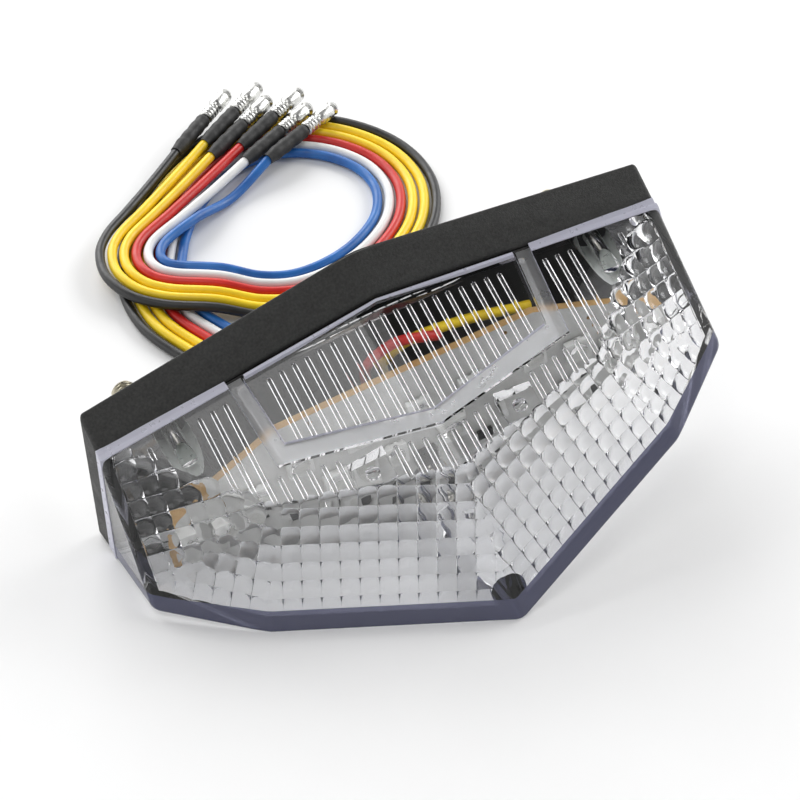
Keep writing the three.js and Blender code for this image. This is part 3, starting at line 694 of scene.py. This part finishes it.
# ---- lens ----
LENS_OUTER = mirrored([
    (0, LENS_BACK, top_z(0, LENS_BACK)),
    (RIM_SHOULDER[0], LENS_BACK, top_z(RIM_SHOULDER[0], LENS_BACK)),
    (RIM_HIP[0], LENS_BACK, RIM_HIP[1]),
    (CHIN[0], LENS_BACK, keel_z(CHIN[0])),
    (0, LENS_BACK, KEEL_Z),
    CHEEK,
    (*TEMPLE, top_z(*TEMPLE)),
    (0, CREST_Y, top_z(0, CREST_Y)),
    JAW,
    (*CHIN, keel_z(CHIN[0])),
    (0, PROW_Y, KEEL_Z),
])
PROW_IN = (0, PROW_Y + 3.1, KEEL_Z + FLOOR_WALL)
CHIN_IN = (CHIN[0] - 1.4, CHIN[1] + 2.6, keel_z(CHIN[0]) + FLOOR_WALL)
JAW_IN = (JAW[0] - 3, JAW[1] + 2.4, JAW[2] + FLOOR_WALL)
TEMPLE_IN = (TEMPLE[0] - 0.9, TEMPLE[1] + 1.2, top_z(TEMPLE[0], TEMPLE[1] + 1.2) - LENS_WALL)
CREST_IN = (0, CREST_Y + 1.7, top_z(0, CREST_Y + 1.7) - LENS_WALL)
CHEEK_IN = (CHEEK[0] - 2.8, CHEEK[1] + 0.7, CHEEK[2] - 2)
SHOULDER_IN_X = RIM_SHOULDER[0] - LENS_WALL
LENS_INNER_BACK = LENS_BACK + 1
LENS_INNER = mirrored([
    (0, LENS_INNER_BACK, top_z(0, LENS_INNER_BACK) - LENS_WALL),
    (SHOULDER_IN_X, LENS_INNER_BACK, top_z(SHOULDER_IN_X, LENS_INNER_BACK) - LENS_WALL),
    (RIM_HIP[0] - LENS_WALL, LENS_INNER_BACK, RIM_HIP[1] + FLOOR_WALL),
    (CHIN[0], LENS_INNER_BACK, keel_z(CHIN[0]) + FLOOR_WALL),
    (0, LENS_INNER_BACK, KEEL_Z + FLOOR_WALL),
    TEMPLE_IN, CREST_IN, JAW_IN, CHIN_IN, PROW_IN, CHEEK_IN,
])


def brow(x):
    """The front edge of the top face at a given x."""
    a = abs(x)
    if a < TEMPLE[0]:
        return CREST_Y + (TEMPLE[1] - CREST_Y) * a / TEMPLE[0]
    return TEMPLE[1] + (CHEEK[1] - TEMPLE[1]) * (a - TEMPLE[0]) / (CHEEK[0] - TEMPLE[0])


def window_column(out, low=-1, high=30):
    """An upright column over the window's outline, moved outwards by out."""
    cx, cy = WINDOW_CORNER
    outline = [
        (-WINDOW_BACK - out, WINDOW_BACK_Y), (-cx - out, cy - out), (0, WINDOW_POINT_Y - out),
        (cx + out, cy - out), (WINDOW_BACK + out, WINDOW_BACK_Y),
    ]
    return prism(outline, "z", low, high)


def window_front(x, out):
    """The front edge of the window's outline at a given x, moved outwards by out."""
    cx, cy = WINDOW_CORNER
    return WINDOW_POINT_Y - out + (cy - WINDOW_POINT_Y) * abs(x) / (cx + out)


def flute(x, y_back, y_front):
    """A half-round rib on the underside of the top wall."""
    drop = LENS_WALL + 0.05
    a = (x, y_back, top_z(x, y_back) - drop)
    b = (x, y_front, top_z(x, y_front) - drop)
    return rod_between(a, b, FLUTE_RADIUS)


def lens_flutes():
    """The ribs under the top wall, which stop short of the window, the side bosses and the pads."""
    ribs = []
    for row in range(FLUTE_ROWS):
        x = (row + 0.5) * FLUTE_PITCH
        front, back = brow(x) + FLUTE_BROW, FLUTE_BACK
        if x < WINDOW_BACK + CHANNEL_WIDTH + 0.8:
            back = window_front(x, CHANNEL_WIDTH) - 1.0
        if abs(x - SIDE_BOSS[0]) < SIDE_BOSS_RADIUS + 0.7:
            back = FLUTE_PAST_BOSS
        if abs(x - PAD[0]) < PAD_HALF + 0.6:
            back = FLUTE_PAST_PAD
        if back - front > SHORTEST_FLUTE:
            ribs += [flute(side * x, back, front) for side in (-1, 1)]
    return joined(ribs)


def pillow_sheet(corner, along, up, columns, rows, tilt=0.0):
    """A slab on the wall's inside, raised into pillow-shaped cells, with a groove between columns.

    It starts two cells before corner, a row runs towards along, and rows stack towards up. It reaches into
    the wall, and past the wall's ends. tilt turns every other cell one way, and the rest the other way.
    """
    detail = len(CELL_STEPS)
    corner, along, up = Vector(corner), Vector(along), Vector(up)
    u = (along - corner).normalized()
    inward = u.cross(up - corner).normalized()
    if inward.y < 0:
        inward.negate()
    v = (up - corner - u * (up - corner).dot(u)).normalized()
    first_column = -2
    sunk_in_wall = 0.8
    bm = bmesh.new()
    top, base = [], []
    for j in range(rows * detail + 1):
        for i in range(columns * detail + 1):
            a, b = CELL_STEPS[i % detail], CELL_STEPS[j % detail]
            place = corner + u * CELL * (first_column + i // detail + a) + v * CELL * (j // detail + b)
            s, t = 2 * a - 1, 2 * b - 1
            turn = tilt * (1 - 2 * ((i // detail + j // detail) % 2))
            rise = CELL_RISE * (1 - (s * s + t * t) / 2) + turn * s + abs(tilt)
            groove = CELL_GROOVE if a == 0 else 0
            top.append(bm.verts.new(place + inward * (rise - groove + CELL_GROOVE + 0.06)))
            base.append(bm.verts.new(place - inward * sunk_in_wall))
    wide = columns * detail + 1
    for j in range(rows * detail):
        for i in range(columns * detail):
            k = j * wide + i
            bm.faces.new((top[k], top[k + 1], top[k + wide + 1], top[k + wide]))
            bm.faces.new((base[k], base[k + wide], base[k + wide + 1], base[k + 1]))
    edge = list(range(wide))
    edge += [k * wide + wide - 1 for k in range(1, rows * detail + 1)]
    edge += [rows * detail * wide + k for k in range(wide - 2, -1, -1)]
    edge += [k * wide for k in range(rows * detail - 1, 0, -1)]
    for a, b in zip(edge, edge[1:] + edge[:1]):
        bm.faces.new((top[b], top[a], base[a], base[b]))
    bmesh.ops.recalc_face_normals(bm, faces=bm.faces)
    return bm


CELL_SHEETS = [
    # corner, along, up, columns, rows, tilt: the front, the flank and the cheek
    (PROW_IN, CHIN_IN, CREST_IN, 17, 10, 0.0),
    (CHIN_IN, JAW_IN, TEMPLE_IN, 11, 9, CELL_TILT),
    (JAW_IN, CHEEK_IN, TEMPLE_IN, 11, 9, CELL_TILT),
]


def dimpled_pad(x, y):
    """A pad under the top wall, a little wider than deep, with a round dimple in its lower face."""
    wide, deep = PAD_HALF, PAD_HALF * 0.8
    z = top_z(x, y) - LENS_WALL
    outline = [(x - wide, y - deep), (x + wide, y - deep), (x + wide, y + deep), (x - wide, y + deep)]
    below, rim, middle = -PAD_DEPTH - 1, -0.6, -0.3
    dimple = lathe([(0, below), (DIMPLE_RADIUS, below), (DIMPLE_RADIUS, rim), (0, middle)], 32)
    dimple.transform(Matrix.Translation((x, y, z)))
    return combined(prism(outline, "z", z - PAD_DEPTH, z + 3), dimple, "DIFFERENCE")


def lens_cavity():
    """The hollow inside the lens, less everything moulded on the walls' inner side."""
    boss_back = LENS_BACK + 2
    body = hull(LENS_INNER)
    for side in (-1, 1):
        for *points, columns, rows, tilt in CELL_SHEETS:
            corner, along, up = [(side * x, y, z) for x, y, z in points]
            sheet = pillow_sheet(corner, along, up, columns, rows, tilt)
            body = combined(body, sheet, "DIFFERENCE")
        body = combined(body, dimpled_pad(side * PAD[0], PAD[1]), "DIFFERENCE")
        boss = rod(side * SIDE_BOSS[0], SIDE_BOSS[1], boss_back, SIDE_BOSS_FRONT, SIDE_BOSS_RADIUS)
        body = combined(body, boss, "DIFFERENCE")
    body = combined(body, rod(0, KEEL_BOSS_Z, boss_back, PROW_Y + 1, KEEL_BOSS_RADIUS), "DIFFERENCE")
    return combined(body, lens_flutes(), "DIFFERENCE")


def rim_lip():
    """A thin lip round the lens's back edge, raised at the top and the sides."""
    points = []
    for y in (LENS_BACK, LENS_BACK - RIM_STRIP):
        points += [
            (0, y, top_z(0, y) + RIM_LIP),
            (RIM_SHOULDER[0] + RIM_LIP, y, top_z(RIM_SHOULDER[0], y) + RIM_LIP),
            (RIM_HIP[0] + RIM_LIP, y, RIM_HIP[1]),
            (CHIN[0], y, keel_z(CHIN[0]) + 0.05),
            (0, y, KEEL_Z + 0.05),
        ]
    return hull(mirrored(points))


def lens():
    """The lens, as one mesh with everything moulded on it, cut into faces along the top of the strip that
    gets painted shade.
    """
    outer = hull(LENS_OUTER, 0.9, keep=lambda e: all(v.co.y > LENS_BACK - 0.01 for v in e.verts))
    outer = combined(outer, rim_lip(), "UNION")
    body = combined(outer, lens_cavity(), "DIFFERENCE")
    channel = combined(window_column(CHANNEL_WIDTH), channel_floor(), "INTERSECT")
    body = combined(body, channel, "DIFFERENCE")
    baffle = combined(window_column(BAFFLE_WALL), window_column(GAP, low=-2, high=31), "DIFFERENCE")
    body = combined(body, combined(baffle, baffle_zone(), "INTERSECT"), "UNION")
    body = combined(body, window_column(GAP), "DIFFERENCE")
    for x, z, end in SCREWS.values():
        body = combined(body, rod(x, z, LENS_BACK + 1, end - PILOT_SPARE, PILOT_RADIUS), "DIFFERENCE")
    shade_band_top = (0, 0, KEEL_Z + SHADE_BAND_HEIGHT)
    for side in (-1, 1):
        parts = body.verts[:] + body.edges[:] + body.faces[:]
        above = Vector((-side * math.tan(ROLL), 0, 1)).normalized()
        bmesh.ops.bisect_plane(body, geom=parts, plane_co=shade_band_top, plane_no=above)
    bmesh.ops.triangulate(body, faces=body.faces)
    return body


def top_slab(high, low):
    """The space between two copies of the top face, wider than the lens and moved up by high and by low."""
    points = [
        (x, y, top_z(x, y) + lift) for lift in (high, low) for x in (-62, 0, 62) for y in (-60, 0)
    ]
    left = hull([p for p in points if p[0] <= 0])
    right = hull([p for p in points if p[0] >= 0])
    return combined(left, right, "UNION")


def channel_floor():
    """The layer that the channel round the window is cut from."""
    return top_slab(6, -CHANNEL_DEPTH)


def baffle_zone():
    """The layer that the wall under the window's edge is kept to."""
    return combined(top_slab(-1, -LENS_WALL - BAFFLE_DEPTH), hull(LENS_OUTER), "INTERSECT")


def outside_window(p):
    """How far a point is outside the window's outline, seen from above."""
    cx, cy = WINDOW_CORNER
    front = window_front(p.x, 0) - p.y if abs(p.x) < cx + 4 else 0
    edge = cx + (WINDOW_BACK - cx) * max(0.0, (p.y - cy) / (WINDOW_BACK_Y - cy))
    return max(front, abs(p.x) - edge)


def in_channel(p):
    """The channel's floor, and what is under the top wall there."""
    out = outside_window(p)
    if not 0.2 < out < CHANNEL_WIDTH + 0.05:
        return False
    depth = top_z(p.x, p.y) - p.z
    return CHANNEL_DEPTH - 0.05 < depth < CHANNEL_DEPTH + 0.05 or depth > LENS_WALL + 0.1


def on_rim(p, normal):
    """The strip of the lens's outside next to the housing, which gets the painted glow."""
    outside = top_z(p.x, p.y) - p.z < 0.3 or abs(p.x) > RIM_SHOULDER[0] - 0.5
    return p.y > LENS_BACK - RIM_STRIP - 0.05 and outside and normal.y < 0.5


def on_channel_wall(p, normal):
    """The upright sides of the channel, which get the rim's painted glow."""
    depth = top_z(p.x, p.y) - p.z
    beside = -0.1 < outside_window(p) < CHANNEL_WIDTH + 0.3
    return 0 < depth < CHANNEL_DEPTH and beside and abs(normal.z) < 0.5


def on_shade_band(p, normal):
    """The strip of the lens's outer front below the cells, which gets a dark band of painted shade."""
    forward = -0.6 < normal.z < 0.75 and normal.y < 0.2 and normal.x * p.x > -0.5
    return forward and p.z < keel_z(p.x) + SHADE_BAND_HEIGHT and p.y < LENS_BACK - 1


def on_side_boss(p):
    """The two upper screw bosses, below the top wall, which get a pale painted glow."""
    off_axis = math.hypot(abs(p.x) - SIDE_BOSS[0], p.z - SIDE_BOSS[1])
    return off_axis < SIDE_BOSS_RADIUS + 0.05 and top_z(p.x, p.y) - p.z > LENS_WALL - 0.2


def lens_face(p, normal):
    # painted glow on the rim strip, the channel's sides and the side bosses; painted shade on the bottom
    # front band
    if on_rim(p, normal) or on_channel_wall(p, normal):
        return RIM_PAINTED_GLOW
    if on_side_boss(p):
        return BOSS_PAINTED_GLOW
    if on_shade_band(p, normal):
        return BAND_PAINTED_SHADE
    return FROSTED if in_channel(p) else CLEAR


LENS_PAINTS = (CLEAR, FROSTED, RIM_PAINTED_GLOW, BOSS_PAINTED_GLOW, BAND_PAINTED_SHADE)
lens_piece = mesh_object("lens_shell", lens(), materials=LENS_PAINTS, smooth=28)
paint_faces(lens_piece, lens_face)
place_piece(lens_piece, ["lens"])


# ---- plate-light window ----
def plate_window():
    """The ribbed pane: the lens's top wall inside the window's outline, set a little lower."""
    outer = hull([(x, y, z - WINDOW_DROP) for x, y, z in LENS_OUTER])
    body = combined(outer, hull(LENS_INNER), "DIFFERENCE")
    body = combined(body, window_column(0), "INTERSECT")
    ribs = []
    for row in range(-11, 12):
        x = row * FLUTE_PITCH
        if abs(x) < WINDOW_CORNER[0] - 1:
            ribs.append(flute(x, PANE_FLUTE_BACK, window_front(x, 0) + PANE_FLUTE_FRONT))
    body = combined(body, joined(ribs), "UNION")
    lip = hull(mirrored([
        (x, y, top_z(x, y) + z)
        for x in (0, WINDOW_BACK - WINDOW_LIP_INSET)
        for y in (LENS_BACK, LENS_BACK - WINDOW_LIP)
        for z in (RIM_LIP, -1)
    ]))
    return combined(body, lip, "UNION")


def window_face(p, normal):
    """The rim's painted glow on the lip and on the pane's upright front and side edges."""
    lip = p.y > LENS_BACK - WINDOW_LIP - 0.1 and top_z(p.x, p.y) - p.z < WINDOW_DROP - 0.1
    edge = abs(normal.z) < 0.3 and normal.y < 0.9 and outside_window(p) > -0.1
    return RIM_PAINTED_GLOW if lip or edge else CLEAR


window = mesh_object("window_pane", plate_window(), materials=(CLEAR, RIM_PAINTED_GLOW), smooth=28)
paint_faces(window, window_face)
place_piece(window, ["plate_light_window"])


# ---- circuit board ----
def board():
    """The board's plate, with a notch for the lower screw's boss and a few small holes."""
    above_keel = LENS_WALL + 0.8
    right = [(26, 4.3), (41.5, -2.5), (50, -7.3), (50, -15.5), (42, keel_z(42) + above_keel)]
    foot = [(0, KEEL_Z + above_keel)]
    outline = right + foot + [(-x, z) for x, z in reversed(right)]
    body = prism(outline, "y", BOARD_FRONT, BOARD_FRONT + BOARD_THICK)
    body = combined(body, rod(0, KEEL_BOSS_Z, 0, -20, KEEL_BOSS_RADIUS + 0.6), "DIFFERENCE")
    holes = [(36.6, -3.4), (37.4, -5.8), (38.2, -8.2), (-37.5, -4.4), (-38.4, -7.2), (20, 2.4), (-20, 2.4)]
    drilled = joined([rod(x, z, BOARD_FRONT + 3, BOARD_FRONT - 1, 0.5, 16) for x, z in holes])
    return combined(body, drilled, "DIFFERENCE")


board_piece = mesh_object("board_panel", board(), materials=(MASK, LAMINATE), smooth=30)
paint_faces(board_piece, lambda p, normal: LAMINATE if abs(normal.y) < 0.5 else MASK)
place_piece(board_piece, ["circuit_board"])


# ---- LEDs ----
def led_mesh():
    """A white ceramic LED: a rounded body, a clear dome, and three tinned pads on each of two sides."""
    body = block((0, 0, LED_BODY / 2), (LED_SIZE, LED_SIZE, LED_BODY), rounding=0.2)
    radius, height = LED_DOME
    foot = LED_BODY + 0.02
    steps = 8
    profile = [(0, foot), (radius, foot)]
    for i in range(1, steps):
        a = math.pi / 2 * i / steps
        profile.append((radius * math.cos(a), foot + height * math.sin(a)))
    dome = lathe(profile + [(0, foot + height)], 32)
    pad_y = LED_SIZE / 2 - 0.05
    pads = joined([block((x, side * pad_y, 0.3), LED_PAD) for side in (-1, 1) for x in LED_PADS_X])
    for bm, index in ((body, 0), (dome, 1), (pads, 2)):
        for face in bm.faces:
            face.material_index = index
    return joined([body, dome, pads])


def add_led(name, x, z):
    bm = along_y(led_mesh(), x, BOARD_FRONT - GAP, z)
    piece = mesh_object(f"{name}_chip", bm, materials=(CERAMIC, EPOXY, TIN), smooth=40)
    place_piece(piece, [name])


BRAKE_LEDS = [(x, -5.5) for x in (-24, -12, 0, 12, 24)] + [(x, -14) for x in (-18, -6, 6, 18)]
TURN_LEDS = [(33, -9), (40, -12), (46.6, -11)]
for i, (x, z) in enumerate(BRAKE_LEDS):
    add_led(f"brake_led_{i + 1}", x, z)
for name, side in (("left", -1), ("right", 1)):
    for i, (x, z) in enumerate(TURN_LEDS):
        add_led(f"turn_led_{name}_{i + 1}", side * x, z)


# ---- chips ----
def chip(x, z, width, height, thick, pins):
    """A moulded chip with tinned ends, or with a row of pins on two sides."""
    y = BOARD_FRONT - GAP - thick / 2
    body = block((x, y, z), (width - 0.8, thick, height), rounding=0.15)
    pin_pitch, pin_size = 0.8, (0.38, thick * 0.8, 0.35 if pins > 1 else height * 0.9)
    metal_parts = []
    for side in (-1, 1):
        for i in range(pins):
            rise = (i - (pins - 1) / 2) * pin_pitch
            metal_parts.append(block((x + side * (width / 2 - 0.2), y, z + rise), pin_size))
    ends = joined(metal_parts)
    for face in ends.faces:
        face.material_index = 1
    return joined([body, ends])


for i, (x, z) in enumerate([(-12, -19.5), (12, -19.5), (-30, -17), (30, -17)]):
    resistor = chip(x, z, width=4, height=2, thick=0.8, pins=1)
    piece = mesh_object(f"resistor_{i + 1}_body", resistor, materials=(CHIP, TIN))
    place_piece(piece, [f"resistor_{i + 1}"])
driver = chip(0, -18, width=5, height=3.6, thick=1.6, pins=4)
piece = mesh_object("driver_chip_body", driver, materials=(CHIP, TIN))
place_piece(piece, ["driver_chip"])


# ---- screws and studs ----
def ridge(pitch, depth, low, high):
    """A winding groove: what it takes off the radius, between two heights."""
    def taken(height, turn):
        if not low < height < high:
            return 0
        phase = (height / pitch - turn) % 1
        return depth * abs(2 * phase - 1)
    return taken


def screw(x, z, end):
    """A pan-headed screw with a cross recess, from just under the housing's back to end."""
    sunk, step = 0.2, 0.11
    length = -sunk - end
    neck = HEAD_DEPTH - GAP - sunk
    head = SCREW_HEAD_RADIUS
    profile = [(0, 0), (head - 0.9, 0), (head - 0.35, 0.18), (head, 0.7), (head, neck), (SCREW_RADIUS, neck)]
    for i in range(1, int((length - neck - SCREW_POINT) / step)):
        profile.append((SCREW_RADIUS, neck + step * i))
    profile += [(SCREW_RADIUS - 0.3, length - 1.5), (0.25, length), (0, length)]
    body = lathe(profile, 28, ridge(SCREW_PITCH, SCREW_THREAD, neck + 0.3, length - SCREW_POINT))
    for wide, tall in ((CROSS_LENGTH, CROSS_WIDTH), (CROSS_WIDTH, CROSS_LENGTH)):
        body = combined(body, block((0, 0, 0), (wide, tall, 2 * CROSS_DEPTH)), "DIFFERENCE")
    return along_y(body, x, -sunk, z)


for name, (x, z, end) in SCREWS.items():
    piece = mesh_object(f"screw_{name}", screw(x, z, end), materials=(SCREW_STEEL,), smooth=50)
    place_piece(piece, [f"lens_screw_{name}"])


def stud(x):
    """A threaded stud that stands out of the housing's back, with a plain foot and a chamfered tip."""
    step, chamfer = 0.1, 0.6
    length = STUD_TIP - STUD_FOOT
    plain = STUD_THREAD_START - STUD_FOOT
    profile = [(0, 0), (STUD_RADIUS, 0), (STUD_RADIUS, plain)]
    steps = int((length - plain - chamfer) / step)
    profile += [(STUD_RADIUS, plain + step * i) for i in range(1, steps)]
    profile += [(STUD_RADIUS - 0.55, length - 0.15), (STUD_RADIUS - 0.8, length), (0, length)]
    body = lathe(profile, 40, ridge(STUD_PITCH, STUD_THREAD, plain, length - chamfer / 2))
    body.transform(Matrix.Translation((x, STUD_FOOT, STUD_Z)) @ Matrix.Rotation(-math.pi / 2, 4, "X"))
    return body


for name, side in (("left", -1), ("right", 1)):
    piece = mesh_object(f"stud_{name}", stud(side * STUD_X), materials=(STUD_STEEL,), smooth=60)
    place_piece(piece, [f"mounting_stud_{name}"])


# ---- grommet, gasket and inner leads ----
def grommet():
    """The grommet: a flange inside, a waist through the wall, and a rounded flange with a dent per lead."""
    inside = -WALL - GAP
    waist = prism(slot_outline(GROMMET, *GROMMET_WAIST), "y", inside - 0.5, FLANGE_FACE - 0.4)
    body = combined(waist, prism(slot_outline(GROMMET, *GROMMET_FLANGE), "y", inside - 1.2, inside), "UNION")
    flange = prism(slot_outline(GROMMET, *GROMMET_FLANGE), "y", GAP - GROMMET_RECESS, FLANGE_FACE)
    rim = []
    for e in flange.edges:
        at_face = all(v.co.y > FLANGE_FACE - 0.1 for v in e.verts)
        if at_face and abs(e.link_faces[0].normal.y - e.link_faces[1].normal.y) > 0.5:
            rim.append(e)
    round_edges(flange, 0.3, segments=3, edges=rim)
    body = combined(body, flange, "UNION")
    for i in range(len(LEADS)):
        lane = GROMMET[0] - (LANE_MIDDLE - i) * LANE_PITCH
        body = combined(body, rod(lane, GROMMET[1], 0, -0.6, LEAD_RADIUS + 0.2, 20), "DIFFERENCE")
    return body


grommet_piece = mesh_object("grommet_body", grommet(), materials=(GROMMET_RUBBER,))
place_piece(grommet_piece, ["wire_grommet"])
gasket_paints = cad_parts["lens_gasket"].data.materials
gasket_paints.clear()
gasket_paints.append(SEAL)

INNER = {
    "yellow": [(-2, -6.4, -8), (-2.4, -8.4, 1), (3.5, -9.4, 4.6), (14, -10, 4.2), (27.5, -10.6, 1)],
    "red": [(-6, -6.4, -8), (-5.6, -9.4, 3), (0.4, -11.8, 8), (9, -12, 5.4)],
}
for colour, route in INNER.items():
    points = [TO_FRAME @ Vector(p) for p in route]
    wire, _ = smooth_curve(f"inner_wire_{colour}", points, LEAD_RADIUS, LEAD_PAINTS[colour])
    place_piece(wire, [f"inner_lead_{colour}"])


# ---- floor, lights, surroundings ----
def floor():
    bm = bmesh.new()
    bmesh.ops.create_grid(bm, x_segments=1, y_segments=1, size=4)
    mesh = bpy.data.meshes.new("floor")
    bm.to_mesh(mesh)
    bm.free()
    p = Paint("pale_floor", (0.9, 0.9, 0.9), 0.8)
    p.mix_colour(p.noise(40), (0.89, 0.89, 0.89), (0.91, 0.91, 0.91))
    mesh.materials.append(p.material)
    obj = bpy.data.objects.new("floor", mesh)
    scene.collection.objects.link(obj)


def softbox(name, centre, aim, width, height, watts):
    light = bpy.data.lights.new(name, "AREA")
    light.shape, light.size, light.size_y, light.energy = "RECTANGLE", width, height, watts
    obj = bpy.data.objects.new(name, light)
    obj.location = centre
    obj.rotation_euler = (Vector(aim) - Vector(centre)).to_track_quat("-Z", "Y").to_euler()
    obj.visible_camera = False
    scene.collection.objects.link(obj)


def surroundings(horizon, zenith, near):
    """A white room that gets darker towards its ceiling, and towards the near side."""
    world = bpy.data.worlds.new("room")
    scene.world = world
    world.use_nodes = True
    tree = world.node_tree
    place = tree.nodes.new("ShaderNodeTexCoord")
    split = tree.nodes.new("ShaderNodeSeparateXYZ")
    ramp = tree.nodes.new("ShaderNodeValToRGB")
    for end, grey, position in zip(ramp.color_ramp.elements, (horizon, zenith), (0.25, 0.85)):
        end.color, end.position = (grey, grey, grey, 1), position
    tree.links.new(place.outputs["Generated"], split.inputs["Vector"])
    tree.links.new(split.outputs["Z"], ramp.inputs["Fac"])
    tree.links.new(ramp.outputs["Color"], tree.nodes["Background"].inputs["Color"])
    fade = tree.nodes.new("ShaderNodeMapRange")
    near_side, far_side = -0.55, 0.35
    fade.inputs["From Min"].default_value, fade.inputs["From Max"].default_value = near_side, far_side
    fade.inputs["To Min"].default_value = near
    tree.links.new(split.outputs["Y"], fade.inputs["Value"])
    tree.links.new(fade.outputs["Result"], tree.nodes["Background"].inputs["Strength"])


floor()
surroundings(horizon=1.25, zenith=0.1, near=0.4)
softbox("left_top", (-0.42, -0.12, 1.15), (-0.02, 0.02, 0.02), 0.7, 0.8, 2.2)
softbox("right", (1.15, 0.15, 0.75), (0, 0, 0.02), 0.9, 0.6, 5)
softbox("back", (-0.1, 1.25, 0.85), (0, 0.05, 0.02), 1.3, 0.6, 8)
scene.view_settings.view_transform = "Standard"
scene.view_settings.exposure = 0.6
